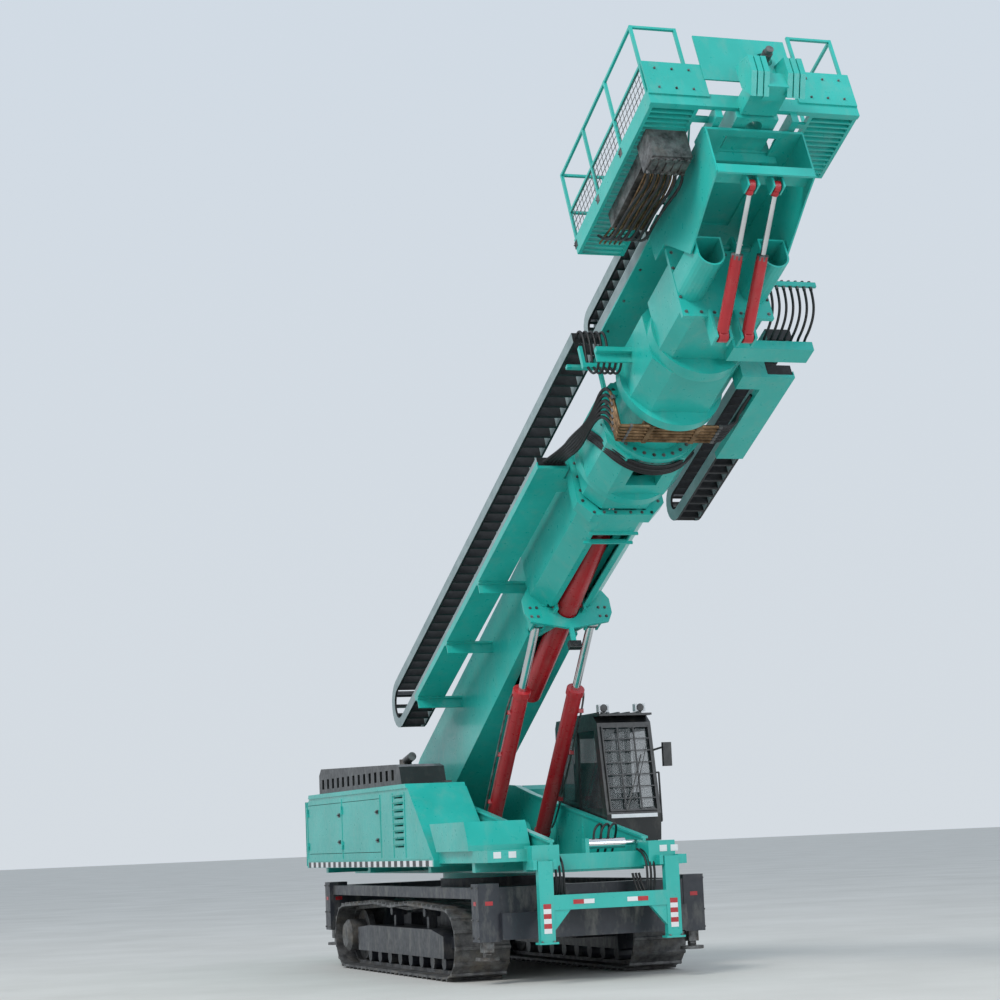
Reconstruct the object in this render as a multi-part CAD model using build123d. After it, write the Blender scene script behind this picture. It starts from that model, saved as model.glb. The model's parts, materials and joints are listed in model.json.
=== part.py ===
"""Crawler slope drilling rig: tracked undercarriage, slewing deck, telescopic boom, drill mast.

Millimetres. +X is forward, +Y is the cab side (the machine's left), +Z is up, the ground is z = 0.
Everything on the deck and below is drawn with the slew axis at x = 0. Everything on the boom is
drawn in the boom's own frame: x runs along the boom, z away from its underside. save() puts each
piece into the row's frame, whose origin is the middle of the bounding box at the ground.
"""
import math
import os

from build123d import *

SEAT = 0.3                # gap left between pieces that rest on or turn in each other
BOOM_DEG = 24.2           # boom elevation as parked in the photograph
REAR_X = 5450.0           # counterweight's rear face behind the slew axis

# Undercarriage
TRACK_OUT = 1600.0        # half of the overall width
SHOE_W = 745.0
TRACK_R = 450.0           # outer face of the shoes round both ends
TRACK_END = 2530.0        # idler and sprocket centres from the slew axis
TRACK_TOP_SAG = 60.0      # carrier rollers lift the upper run
CARRIER_X = 800.0
LUG_H = 28.0
SHOE_PITCH = 216.0
SHOE_T = 30.0
LINK_T = 48.0             # depth of the link rail inside the shoes
LINK_W = 110.0            # half of its width
ROLLER_R = 97.0
ROLLER_COUNT = 8
END_STEPS = 8             # flats round each end of the inner faces
FRAME_HALF = 240.0        # half of the track frame's width
FRAME_Z0, FRAME_Z1 = 270.0, 640.0
CHASSIS_TOP = 1200.0
RING_TOP = 1280.0         # slew ring on the chassis
RING_R = 760.0
JACK_X = 3630.0
JACK_Y = 1390.0
JACK_PAD_Z = 300.0        # pads are drawn up in the photograph
JACK_BORE = 75.0          # half of the square hole in a jack housing

# Deck
DECK_Z = 1500.0
SILL_Z = 1560.0           # top of the side platforms
STEP_Z = 1660.0           # top of the right front step
FRAME_Y = 650.0           # outer face of the boom side frames
FRAME_T = 40.0
FRONT_X = 3950.0
HOOD_Y = 1560.0
HOOD_Z = 2540.0
DOOR_EDGES = ((-4560.0, -2560.0), (-2500.0, -460.0))   # rear and front hood doors, x0 and x1
DOOR_Z0, DOOR_Z1 = 1680.0, 2440.0
HINGE_X, HINGE_Z = 4330.0, 1455.0    # front frame's pins
HINGE_R = 25.0
HINGE_BACK, HINGE_OUT = 7.0, 14.0    # door hinges: behind the opening's edge, out of the wall
CAB = dict(x0=700.0, x1=2560.0, y0=720.0, y1=1500.0, z0=1560.0, z1=3400.0)

# Boom, in the boom frame
AXIS_U = 3500.0
FOOT_S, FOOT_U = -1680.0, 3290.0
FOOT_PIN = 80.0
LIFT_FOOT = (720.0, 1620.0)         # x, z on the deck
LIFT_EYE = (4814.0, 2887.0)         # s, u on the boom
LIFT_Y = 381.0
LIFT_PIN = 60.0
LIFT_ROD = 55.0
SLEEVE_S0, SLEEVE_S1 = 4950.0, 7300.0
SLEEVE_Y, SLEEVE_U0, SLEEVE_U1 = 480.0, 2950.0, 4030.0
INNER_Y, INNER_U0, INNER_U1 = 270.0, 3130.0, 3860.0
COLLAR_T = 40.0

# Extension cylinder under the boom: its line runs from tail to eye, and it swings at the collar
EXT_TAIL = (2930.0, 2680.0)
EXT_EYE = (7250.0, 3305.0)
EXT_PIN_S = 5040.0
EXT_BARREL = 150.0
EXT_ROD = 75.0
EXT_PIN = 40.0

# Drag chains: link height, side plate, rung, and the trays they lie in
LINK_H = 140.0
PLATE_T = 30.0
RUNG = 34.0
TRAY_U, TRAY_END = 3640.0, 7330.0
TRAY_Y0, TRAY_Y1 = -1010.0, -600.0
TRAY_C = 3100.0

# Head
NECK_R = 470.0
HEAD_S = 10200.0          # turning face between the boom's head and the mast's head
PLATE_S = 11100.0         # front face of the turning head
TUBE_Y, TUBE_U, TUBE_R = 384.0, 3495.0, 163.0
TUBE_TOP, TUBE_END = 3724.0, 11770.0

# Mast
TILT_PIN = (11000.0, 4200.0)
TILT_PIN_R = 40.0
TILT_FOOT = (11100.0, 2876.0)
TILT_EYE = (12560.0, 3806.0)
TILT_Y = 150.0
TILT_ROD = 33.0
TILT_FOOT_PIN = 30.0
BEAM_S0, BEAM_S1 = 8200.0, 12330.0
BEAM_U0, BEAM_U1 = 4505.0, 4770.0
BEAM_Y = 340.0            # half of the web
FLANGE_Y, FLANGE_T = 540.0, 25.0
RAIL_H = 30.0
TIP_Y = 247.0
BAR_S, BAR_T = 12840.0, 60.0
BAR_U0, BAR_U1 = 4618.0, 4793.0
CLAMP = ((13200, 4600), (13340, 4370), (13500, 4582), (13500, 4800), (13200, 4900))   # s, u
ROD_RISE = 180.0          # drill axis above the beam
ROD_R = 57.0
CARRIAGE_T = 54.0
NOSE_R = 104.0
CHUCK_S = 10125.0
NECK_ROD = 70.0
FLOOR_U = 4680.0
FLOOR_T = 60.0
PLAT_Y = 1229.0
RAIL_U = 5790.0
GRATE_PITCH = 75.0


def to_deck(s, u):
    """Boom frame to deck frame."""
    a = math.radians(BOOM_DEG)
    return s * math.cos(a) - u * math.sin(a), s * math.sin(a) + u * math.cos(a)


FOOT_X, FOOT_Z = to_deck(FOOT_S, FOOT_U)
EYE_XZ = to_deck(*LIFT_EYE)
LIFT_LEN = math.hypot(EYE_XZ[0] - LIFT_FOOT[0], EYE_XZ[1] - LIFT_FOOT[1])
TRACK_MID = -TRACK_OUT + SHOE_W / 2
TRACK_Z = TRACK_R + LUG_H
LINK_IN = TRACK_R - SHOE_T - LINK_T
WHEEL_R = LINK_IN * math.cos(math.pi / 2 / END_STEPS) - SEAT
FLANGE_U0 = BEAM_U0 - FLANGE_T
RAIL_TOP = BEAM_U1 + RAIL_H
DRILL_U = BEAM_U1 + ROD_RISE
SLEW_X = (REAR_X - max(to_deck(s, u)[0] for s, u in CLAMP)) / 2    # slew axis in the row's frame


def box(x0, x1, y0, y1, z0, z1):
    """Axis-aligned block between two corners."""
    return Pos((x0 + x1) / 2, (y0 + y1) / 2, (z0 + z1) / 2) * Box(
        abs(x1 - x0), abs(y1 - y0), abs(z1 - z0)
    )


def prism(points, axis, low, high):
    """Polygon swept along one axis. Points are the other two coordinates in X, Y, Z order."""
    low, high = sorted((low, high))
    place = {
        "x": lambda a, b: (low, a, b),
        "y": lambda a, b: (a, low, b),
        "z": lambda a, b: (a, b, low),
    }[axis]
    way = {"x": (1, 0, 0), "y": (0, 1, 0), "z": (0, 0, 1)}[axis]
    face = Face(Wire.make_polygon([place(a, b) for a, b in points], close=True))
    return extrude(face, amount=high - low, dir=way)


def rod(start, end, radius):
    """Round bar between two points."""
    a, b = Vector(*start), Vector(*end)
    way = b - a
    plane = Plane(origin=a, z_dir=way)
    return extrude(plane * Circle(radius), amount=way.length, dir=way.normalized())


def disc(centre, axis, radius, length):
    """Round bar centred on a point, along a named axis."""
    half = length / 2
    step = {"x": (half, 0, 0), "y": (0, half, 0), "z": (0, 0, half)}[axis]
    start = [c - d for c, d in zip(centre, step)]
    end = [c + d for c, d in zip(centre, step)]
    return rod(start, end, radius)


def union(shapes):
    """One fused shape from a list."""
    shapes = list(shapes)
    return shapes[0] if len(shapes) == 1 else shapes[0].fuse(*shapes[1:])


def many_sided(centre, radius, sides, low, high):
    """Short bar along Y with flat sides, a corner pointing up and down."""
    x, z = centre
    corners = [math.pi / 2 + 2 * math.pi * i / sides for i in range(sides)]
    return prism([(x + radius * math.cos(a), z + radius * math.sin(a)) for a in corners], "y", low, high)


def arc(centre, radius, start, end, steps):
    """Points on an arc in degrees, both ends included."""
    angles = [math.radians(start + (end - start) * i / steps) for i in range(steps + 1)]
    return [(centre[0] + radius * math.cos(a), centre[1] + radius * math.sin(a)) for a in angles]


def mirrored(shape):
    """The same piece on the other side of the machine."""
    return mirror(shape, about=Plane.XZ)


def pair(shape):
    return [shape, mirrored(shape)]


def deck_frame(shape):
    return Pos(SLEW_X, 0, 0) * shape


def boom_frame(shape):
    return Pos(SLEW_X, 0, 0) * (Rot(0, -BOOM_DEG, 0) * shape)


def hollow(points, axis, low, high, wall, inside):
    """Closed box of plate: the outline swept, less its inside outline."""
    return prism(points, axis, low, high) - prism(inside, axis, low + wall, high - wall)


def shell_box(x0, x1, y0, y1, z0, z1, wall):
    """Hollow block of plate."""
    return box(x0, x1, y0, y1, z0, z1) - box(
        x0 + wall, x1 - wall, y0 + wall, y1 - wall, z0 + wall, z1 - wall
    )


def save(name, shapes, place=deck_frame):
    """Write one node: all solids of the shapes, placed in the row's frame."""
    solids = []
    for shape in shapes if isinstance(shapes, (list, tuple)) else [shapes]:
        solids += place(shape).solids()
    export_step(Compound(children=[Solid(s.wrapped) for s in solids]), f"parts/{name}.step")


# Undercarriage

def track_loop(radius, steps):
    """Closed line round both ends, flat below, carried at two rollers above."""
    top = TRACK_Z + radius + TRACK_TOP_SAG
    return (
        arc((-TRACK_END, TRACK_Z), radius, 270, 90, steps)
        + [(-CARRIER_X, top), (0, top - 0.7 * TRACK_TOP_SAG), (CARRIER_X, top)]
        + arc((TRACK_END, TRACK_Z), radius, 90, -90, steps)
    )


def walk(line, pitch):
    """Evenly spaced points on a closed line, at about the given pitch."""
    ends = line[1:] + line[:1]
    lengths = [math.dist(a, b) for a, b in zip(line, ends)]
    count = round(sum(lengths) / pitch)
    step = sum(lengths) / count
    found, gone = [], 0.0
    for a, b, length in zip(line, ends, lengths):
        while len(found) < count and gone <= length:
            t = gone / length
            found.append((a[0] + (b[0] - a[0]) * t, a[1] + (b[1] - a[1]) * t))
            gone += step
        gone -= length
    return found


def shoe_line():
    """Outer face of the track: one raised bar across each shoe."""
    corners = walk(track_loop(TRACK_R, 2 * END_STEPS), SHOE_PITCH)
    line = []
    for (x0, z0), (x1, z1) in zip(corners, corners[1:] + corners[:1]):
        length = math.dist((x0, z0), (x1, z1))
        out_x, out_z = -(z1 - z0) / length * LUG_H, (x1 - x0) / length * LUG_H
        for share, raised in ((0.36, 0), (0.42, 1), (0.58, 1), (0.64, 0)):
            line.append((x0 + (x1 - x0) * share + out_x * raised, z0 + (z1 - z0) * share + out_z * raised))
    return line


def track():
    """Shoes as one loop, with the link rail inside them."""
    y0, y1 = -TRACK_OUT, -TRACK_OUT + SHOE_W
    shoes = prism(shoe_line(), "y", y0, y1)
    shoes -= prism(track_loop(TRACK_R - SHOE_T, END_STEPS), "y", y0 - 5, y1 + 5)
    links = prism(track_loop(TRACK_R - SHOE_T + 4, END_STEPS), "y", TRACK_MID - LINK_W, TRACK_MID + LINK_W)
    links -= prism(track_loop(LINK_IN, END_STEPS), "y", TRACK_MID - LINK_W - 5, TRACK_MID + LINK_W + 5)
    return shoes.fuse(links)


def track_frame():
    """Side frame between the runs, with its rollers, carrier posts, idler fork and drive bracket."""
    rear, front = -(TRACK_END - 380), TRACK_END - 480
    side = [
        (rear, FRAME_Z0), (front, FRAME_Z0), (front, FRAME_Z1 - 80), (front - 550, FRAME_Z1),
        (rear + 650, FRAME_Z1), (rear, FRAME_Z1 - 40),
    ]
    inside = [
        (rear + 30, FRAME_Z0 + 30), (front - 30, FRAME_Z0 + 30), (front - 30, FRAME_Z1 - 105),
        (front - 553, FRAME_Z1 - 30), (rear + 653, FRAME_Z1 - 30), (rear + 30, FRAME_Z1 - 67),
    ]
    parts = [hollow(side, "y", TRACK_MID - FRAME_HALF, TRACK_MID + FRAME_HALF, 25, inside)]
    low = TRACK_Z - LINK_IN + SEAT
    gap = (front - rear - 600) / (ROLLER_COUNT - 1)
    for i in range(ROLLER_COUNT):
        x = rear + 300 + gap * i
        parts.append(many_sided((x, low + ROLLER_R), ROLLER_R, 10, TRACK_MID - 150, TRACK_MID + 150))
    high = TRACK_Z + LINK_IN + TRACK_TOP_SAG - SEAT
    for x in (-CARRIER_X, CARRIER_X):
        parts.append(many_sided((x, high - 62), 62, 8, TRACK_MID - 110, TRACK_MID + 110))
        parts.append(box(x - 45, x + 45, TRACK_MID - 60, TRACK_MID + 60, FRAME_Z1 - 20, high - 50))
    for y in (-125, 96):
        parts.append(box(front - 30, TRACK_END + 110, TRACK_MID + y, TRACK_MID + y + 29, TRACK_Z - 75, TRACK_Z + 75))
    parts.append(box(-TRACK_END - 60, rear + 30, TRACK_MID + 96, TRACK_MID + 125, TRACK_Z - 160, TRACK_Z + 120))
    return union(parts) - disc((TRACK_END, TRACK_MID, TRACK_Z), "y", 60 + SEAT, 400)


def idler():
    """Front wheel with its axle in the frame's fork."""
    wheel = disc((TRACK_END, TRACK_MID, TRACK_Z), "y", WHEEL_R, 120)
    axle = disc((TRACK_END, TRACK_MID, TRACK_Z), "y", 60, 250)
    return union([wheel, axle])


def sprocket():
    """Drive wheel with its gearbox, bolted to the frame's rear bracket."""
    x, z = -TRACK_END, TRACK_Z
    profile = [
        (0, 96 - SEAT), (200, 96 - SEAT), (200, 45), (WHEEL_R, 45), (WHEEL_R, -45),
        (230, -45), (230, -285), (170, -335), (0, -335),
    ]
    half = Face(Wire.make_polygon([(x + r, TRACK_MID + y, z) for r, y in profile], close=True))
    return revolve(half, Axis((x, 0, z), (0, 1, 0)), 360)


def chassis():
    """Centre box, cross members to the track frames, front and rear beams with jack housings."""
    frame_in = TRACK_OUT - SHOE_W / 2 - FRAME_HALF - SEAT
    parts = [
        shell_box(-1500, 1500, -820, 820, 620, 1150, 40),
        disc((0, 0, RING_TOP - 70), "z", RING_R + 40, 140) - disc((0, 0, RING_TOP - 70), "z", RING_R - 160, 160),
        shell_box(-3400, -1500, -520, 520, 700, 1000, 25),
        shell_box(1500, 3400, -520, 520, 700, 1000, 25),
    ]
    for x in (-1250, 1250):
        parts.append(shell_box(x - 250, x + 250, -frame_in, -600, 420, 800, 40))
        parts.append(shell_box(x - 250, x + 250, 600, frame_in, 420, 800, 40))
    for sign in (-1, 1):
        x = sign * JACK_X
        parts.append(shell_box(x - 230, x + 130, -1250, 1250, 880, CHASSIS_TOP, 20))
        parts.append(shell_box(x - 130, x + 230, -1250, 1250, 550, 880, 20))
        for side in (-1, 1):
            y = side * JACK_Y
            parts.append(
                box(x - 140, x + 140, y - 140, y + 140, 530, 1250)
                - box(x - JACK_BORE, x + JACK_BORE, y - JACK_BORE, y + JACK_BORE, 500, 1150)
            )
    for side in (-1, 1):
        parts.append(box(-JACK_X, JACK_X, side * 1330, side * 1480, 1060, CHASSIS_TOP))
    return union(parts)


def jack(x, y):
    """Jack leg that slides in its housing, with its ball joint and pad."""
    half = JACK_BORE - SEAT
    leg = box(x - half, x + half, y - half + 7, y + half - 7, 400, 1050)
    neck = many_sided((x, 370), 50, 8, y - 40, y + 40)
    pad = disc((x, y, JACK_PAD_Z + 20), "z", 150, 40)
    return union([leg, neck, pad])


# Deck

def side_frame():
    """Tall side frame of the right side, from the boom foot to the front."""
    web = [
        (-3250, DECK_Z), (FRONT_X + 100, DECK_Z - 100), (FRONT_X + 100, 1760), (-50, 2420),
        (-760, FOOT_Z + 250), (-2500, FOOT_Z + 350), (-3250, FOOT_Z + 250),
    ]
    plate = prism(web, "y", -FRAME_Y, -FRAME_Y + FRAME_T)
    top = [(FRONT_X + 100, 1760), (-50, 2420), (-760, FOOT_Z + 250)]
    rail = top + [(x, z - 30) for x, z in reversed(top)]
    flange = prism(rail, "y", -FRAME_Y - 30, -FRAME_Y + FRAME_T + 20)
    boss = disc((FOOT_X, -FRAME_Y - 5, FOOT_Z), "y", 210, 110)
    ribs = [
        prism([(x, DECK_Z - 5), (x + 14, DECK_Z - 5), (x + 14, z), (x, z)], "y", -FRAME_Y + 5, -FRAME_Y + FRAME_T + 14)
        for x, z in ((900, 2240), (1900, 2080), (2900, 1920))
    ]
    return union([plate, flange, boss, *ribs])


def deck_floor():
    """Floor plate, cross bars and the upper half of the slew ring."""
    plate = shell_box(-REAR_X + 250, FRONT_X, -FRAME_Y, FRAME_Y, DECK_Z - 150, DECK_Z, 25)
    ring = disc((0, 0, (RING_TOP + SEAT + 1355) / 2), "z", RING_R, 1355 - RING_TOP - SEAT)
    bars = [
        box(x - 60, x + 60, -1450, 1450, DECK_Z - 110, DECK_Z + 10) for x in (-3900, -1500, 1500, 3400)
    ]
    return union([plate, ring, *bars])


def bulkhead():
    """Front cross plate with the hinge brackets of the front frame and the eye of its cylinder."""
    parts = [
        box(FRONT_X - 50, FRONT_X + 50, -960, 960, 1380, 1580),
        box(3790, 3910, -120, -68 - SEAT, 1480, 1760),
    ]
    for side in (-1, 1):
        parts.append(box(FRONT_X, 4250, side * 600, side * 960, 1400, 1700))
        for y in (690, 945):
            parts.append(box(4240, 4380, side * y, side * (y + 50), 1400, 1520))
        parts.append(disc((HINGE_X, side * 845, HINGE_Z), "y", HINGE_R, 290))
    return union(parts)


def lift_feet(y):
    """Two lugs and the pin that carry one lift cylinder."""
    lugs = [
        prism([(450, 1480), (1000, 1480), (860, 1760), (600, 1760)], "y", y + dy, y + dy + 40) for dy in (-150, 110)
    ]
    return union([*lugs, disc((LIFT_FOOT[0], y, LIFT_FOOT[1]), "y", LIFT_PIN, 300)])


def deck():
    """Floor with the plates that stand on it, each its own solid, so the boom's well stays open."""
    floor, front = deck_floor(), bulkhead()
    below = floor + box(-REAR_X + 250, FRONT_X, -FRAME_Y, FRAME_Y, DECK_Z - 150, DECK_Z)
    right = shell_box(-4700, 2050, -HOOD_Y, -FRAME_Y, DECK_Z - 30, SILL_Z, 12)
    step = shell_box(2050, FRONT_X + 100, -1480, -FRAME_Y, DECK_Z + 10, STEP_Z, 12)
    left = shell_box(-4700, 2700, FRAME_Y, HOOD_Y, DECK_Z - 30, SILL_Z, 12)
    pin = disc((FOOT_X, 0, FOOT_Z), "y", FOOT_PIN, 2 * FRAME_Y + 60)
    hole = disc((FOOT_X, 0, FOOT_Z), "y", FOOT_PIN + SEAT, 2 * FRAME_Y + 400)
    return [
        floor, front - below, right - floor, left - floor, step - front, pin,
        *[frame - hole - below - front for frame in pair(side_frame())],
        *[lift_feet(y) - below for y in (-LIFT_Y, LIFT_Y)],
    ]


def counterweight():
    """Rounded cast block across the rear, resting on the deck's tail."""
    plan = [
        (-4750, -1560), (-REAR_X + 200, -1300), (-REAR_X, -700), (-REAR_X, 700), (-REAR_X + 200, 1300), (-4750, 1560),
    ]
    gap = box(-REAR_X - 50, -REAR_X + 300, -60, 60, 1400, 2600)
    return prism(plan, "z", DECK_Z + SEAT, 2500) - gap


def frame_hinges(edge, face, side, spans):
    """Fixed hinge barrels beside a door opening, from its edge, the wall's face and a list of z0 and z1."""
    x, y = edge - HINGE_BACK, face + side * HINGE_OUT
    parts = [rod((x, y, z0), (x, y, z1), 13) for z0, z1 in spans]
    return parts + [box(x - 11, x + 4, face - side * 5, y, z0, z1) for z0, z1 in spans]


def leaf_hinges(edge, face, side, spans):
    """Hinge barrels of a door, each on a strap over its edge."""
    x, y = edge - HINGE_BACK, face + side * HINGE_OUT
    parts = [rod((x, y, z0), (x, y, z1), 13) for z0, z1 in spans]
    parts += [box(x, edge + 40, face + side, face + side * 12, z0 + 2, z1 - 2) for z0, z1 in spans]
    return parts + [box(edge + 12, edge + 40, face - side * 6, face + side * 5, z0 + 2, z1 - 2) for z0, z1 in spans]


def hood():
    """Right-hand cabinet: walls and roof open below, louvres and two door openings in its side."""
    side = [(-4700, SILL_Z + SEAT), (2050, SILL_Z + SEAT), (950, HOOD_Z), (-4480, HOOD_Z), (-4700, HOOD_Z - 140)]
    shell = prism(side, "y", -HOOD_Y + 30, -FRAME_Y - 60)
    core = [(-4685, 1500), (2035, 1500), (2035, 1565), (943, HOOD_Z - 15), (-4472, HOOD_Z - 15), (-4685, HOOD_Z - 143)]
    shell = shell - prism(core, "y", -HOOD_Y - 40, -FRAME_Y - 75)
    frame = prism(side, "y", -HOOD_Y, -HOOD_Y + 40)
    cuts = [box(x0, x1, -HOOD_Y - 10, -HOOD_Y + 60, DOOR_Z0, DOOR_Z1) for x0, x1 in DOOR_EDGES]
    cuts += [box(280, 700, -HOOD_Y - 10, -HOOD_Y + 60, z, z + 36) for z in range(1740, 2420, 96)]
    parts = [shell, frame - union(cuts)]
    parts.append(
        prism([(-4480, HOOD_Z), (950, HOOD_Z), (900, HOOD_Z + 60), (-4440, HOOD_Z + 60)], "y", -HOOD_Y - 20, -FRAME_Y - 70)
    )
    for x0, _ in DOOR_EDGES:
        parts += frame_hinges(x0, -HOOD_Y, -1, ((1740, 1800 - SEAT), (2320 + SEAT, 2380)))
    return union(parts)


def hood_door(x0, x1):
    """Door leaf with its two hinge barrels."""
    leaf = box(x0 + 8, x1 - 8, -HOOD_Y - 2, -HOOD_Y + 28, DOOR_Z0 + 8, DOOR_Z1 - 8)
    return union([leaf, *leaf_hinges(x0, -HOOD_Y, -1, ((1800, 1860), (2260, 2320)))])


def engine():
    """Engine, pump and cooler as one block on two bearers."""
    block = box(-4200, -1400, -1350, -760, 1700, 2450)
    bearers = [box(-4100, -1500, y, y + 100, SILL_Z + SEAT, 1710) for y in (-1300, -910)]
    return union([block, *bearers])


def engine_cover():
    """Black slotted hump on the hood."""
    foot = HOOD_Z + 60 + SEAT
    side = [(-4430, foot), (150, foot), (50, 2860), (-150, 2900), (-4300, 3000), (-4430, 2900)]
    cover = prism(side, "y", -1400, -740)
    inner = [(-4390, 2590), (110, 2590), (20, 2830), (-170, 2865), (-4280, 2960), (-4390, 2880)]
    cover = cover - prism(inner, "y", -1365, -775)
    slots = [box(-4250 + 300 * i, -4130 + 300 * i, -1500, -1350, 2680, 2830) for i in range(14)]
    tops = [box(-4250 + 300 * i, -4130 + 300 * i, -1250, -900, 2800, 3100) for i in range(14)]
    bridge = box(150 - 40, 950 - 60, -1000, -900, foot, foot + 30)
    return (cover - union(slots + tops)).fuse(bridge) - disc((-1300, -900, 2900), "z", 90 + SEAT, 400)


def exhaust():
    """Stack through the engine cover, standing on the hood's roof."""
    stack = rod((-1300, -900, HOOD_Z + 60 + SEAT), (-1300, -900, 3010), 90)
    elbow = rod((-1300, -900, 2975), (-950, -900, 3040), 62)
    return union([stack, elbow])


def toolbox():
    """Low locker in front of the slanted hood end."""
    foot = STEP_Z + SEAT
    side = [(2120, foot), (3480, foot), (3480, 1730), (3330, 2030), (1850, 2030)]
    inside = [(2140, foot + 17), (3468, foot + 17), (3468, 1727), (3322, 2018), (1880, 2018)]
    return hollow(side, "y", -1540, -FRAME_Y - 60, 12, inside)


def tanks():
    """Fuel and oil tanks behind the cab, and the round tank by the boom."""
    foot = SILL_Z + SEAT
    side = [(-4650, foot), (-700, foot), (-700, 2500), (-800, 2560), (-4500, 2560), (-4650, 2450)]
    inside = [(-4638, foot + 12), (-712, foot + 12), (-712, 2495), (-805, 2548), (-4495, 2548), (-4638, 2445)]
    fuel = hollow(side, "y", 730, 1530, 12, inside)
    drum = disc((-150, 320, 1800), "y", 230, 420)
    foot = box(-300, 0, 130, 510, DECK_Z + SEAT, 1700)
    return [fuel, union([drum, foot])]


# Cab

def cab_side():
    """Side outline with the inclined windscreen."""
    return [(CAB["x0"], 1700), (2520, 1700), (2560, 2060), (2330, 3290), (2180, 3400), (760, 3400), (CAB["x0"], 3300)]


def cab_windows():
    x0, y0, y1 = CAB["x0"], CAB["y0"], CAB["y1"]
    side = [(860, 2250), (1450, 2250), (1450, 3200), (860, 3200)]
    front = [(1560, 2150), (2400, 2150), (2210, 3200), (1560, 3200)]
    found = [prism(side, "y", y0 - 20, y0 + 80), prism(front, "y", y0 - 20, y0 + 80)]
    found.append(prism(side, "y", y1 - 80, y1 + 20))
    found.append(box(2100, 2700, y0 + 70, y1 - 70, 2130, 3230))
    found.append(box(x0 - 20, x0 + 80, y0 + 90, y1 - 90, 2300, 3150))
    return found


def cab_shell():
    outer = prism(cab_side(), "y", CAB["y0"], CAB["y1"])
    inner = [(740, 1740), (2480, 1740), (2515, 2065), (2290, 3270), (2160, 3360), (790, 3360), (740, 3280)]
    shell = outer - prism(inner, "y", CAB["y0"] + 40, CAB["y1"] - 40)
    door = prism([(1500, 1780), (2460, 1780), (2490, 2070), (2270, 3250), (1500, 3250)], "y", CAB["y1"] - 60, CAB["y1"] + 20)
    shell = shell - union(cab_windows() + [door])
    base = shell_box(760, 2500, 760, 1460, CAB["z0"] + SEAT, 1705, 12)
    bars = [box(900, 2200, y - 15, y + 15, 3395, 3440) for y in (800, 950, 1100, 1250, 1400)]
    visor = box(2150, 2420, 730, 1490, 3380, 3410)
    mirror_arm = rod((2380, 1480, 2900), (2520, 1640, 2950), 14)
    mirror_head = box(2490, 2550, 1580, 1700, 2680, 3000)
    hinges = frame_hinges(1500, CAB["y1"], 1, ((1900, 1960 - SEAT), (3060 + SEAT, 3120)))
    return union([shell, base, *bars, visor, mirror_arm, mirror_head, *cab_guard(), *hinges])


def cab_front(z, out):
    """Point on the slanted front of the cab, moved forward."""
    return 2560 - (z - 2060) * 230 / 1230 + out, z


def cab_guard():
    """Bars in front of the windscreen, on four stubs."""
    z0, z1 = 2100, 3240
    parts = [
        prism([cab_front(z0, 14), cab_front(z0, 34), cab_front(z1, 34), cab_front(z1, 14)], "y", y, y + 18)
        for y in (765, 985, 1217, 1437)
    ]
    for z in range(z0, z1, 160):
        strip = [cab_front(z, 16), cab_front(z, 32), cab_front(z + 16, 32), cab_front(z + 16, 16)]
        parts.append(prism(strip, "y", 770, 1450))
    for y in (765, 1437):
        for z in (z0 + 10, z1 - 60):
            stub = [cab_front(z, -10), cab_front(z, 20), cab_front(z + 30, 20), cab_front(z + 30, -10)]
            parts.append(prism(stub, "y", y + 2, y + 16))
    return parts


def cab_door():
    outline = [(1508, 1788), (2452, 1788), (2480, 2070), (2262, 3242), (1508, 3242)]
    pane = [(1580, 2150), (2390, 2150), (2205, 3180), (1580, 3180)]
    leaf = prism(outline, "y", CAB["y1"] - 38, CAB["y1"] - 2) - prism(pane, "y", CAB["y1"] - 60, CAB["y1"] + 20)
    return union([leaf, *leaf_hinges(1500, CAB["y1"], 1, ((1960, 2020), (3000, 3060)))])


def cab_glass():
    y0, y1 = CAB["y0"], CAB["y1"]
    side = [(860, 2250), (1450, 2250), (1450, 3200), (860, 3200)]
    front = [(1560, 2150), (2400, 2150), (2210, 3200), (1560, 3200)]
    panes = [prism(side, "y", y0 + 15, y0 + 21), prism(front, "y", y0 + 15, y0 + 21)]
    panes.append(prism(side, "y", y1 - 21, y1 - 15))
    panes.append(box(715, 721, y0 + 90, y1 - 90, 2300, 3150))
    slant = [(2524, 2130), (2530, 2130), (2326, 3230), (2320, 3230)]
    panes.append(prism(slant, "y", y0 + 70, y1 - 70))
    return panes


def cab_interior():
    seat = union([box(1000, 1450, 880, 1340, 2050, 2170), box(950, 1070, 880, 1340, 2150, 2800)])
    base = box(1050, 1400, 950, 1270, 1740 + SEAT, 2050)
    console = box(1900, 2150, 850, 1370, 1740 + SEAT, 2350)
    return [union([seat, base]), console]


def lamps():
    found = [box(2200, 2290, y - 75, y + 75, 3440, 3540) for y in (850, 1380)]
    found += [box(2560 + SEAT, 2580, 780, 1440, 2010, 2060)]
    return found


# Front frame

def front_frame():
    """H-shaped frame that hangs from the deck's front brackets."""
    parts = []
    for side in (-1, 1):
        inner, outer = side * 750, side * 940
        parts.append(box(4300, 4400, inner, outer, 510, HINGE_Z + 50))
        parts.append(box(4270, 4430, side * 720, side * 970, 490, 515))
        parts.append(prism([(side * 760, 905), (side * 530, 905), (side * 760, 640)], "x", 4310, 4390))
    parts.append(box(4300, 4400, -760, 760, 900, 1083))
    return union(parts) - disc((HINGE_X, 0, HINGE_Z), "y", HINGE_R + 1, 2200)


def front_cylinder():
    barrel = rod((3850, -68, 1690), (3850, 430, 1690), 65)
    rod_end = rod((3850, 430, 1690), (3850, FRAME_Y - FRAME_T - SEAT, 1690), 32)
    return union([barrel, rod_end])


# Lift cylinders, drawn on the deck

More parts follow.
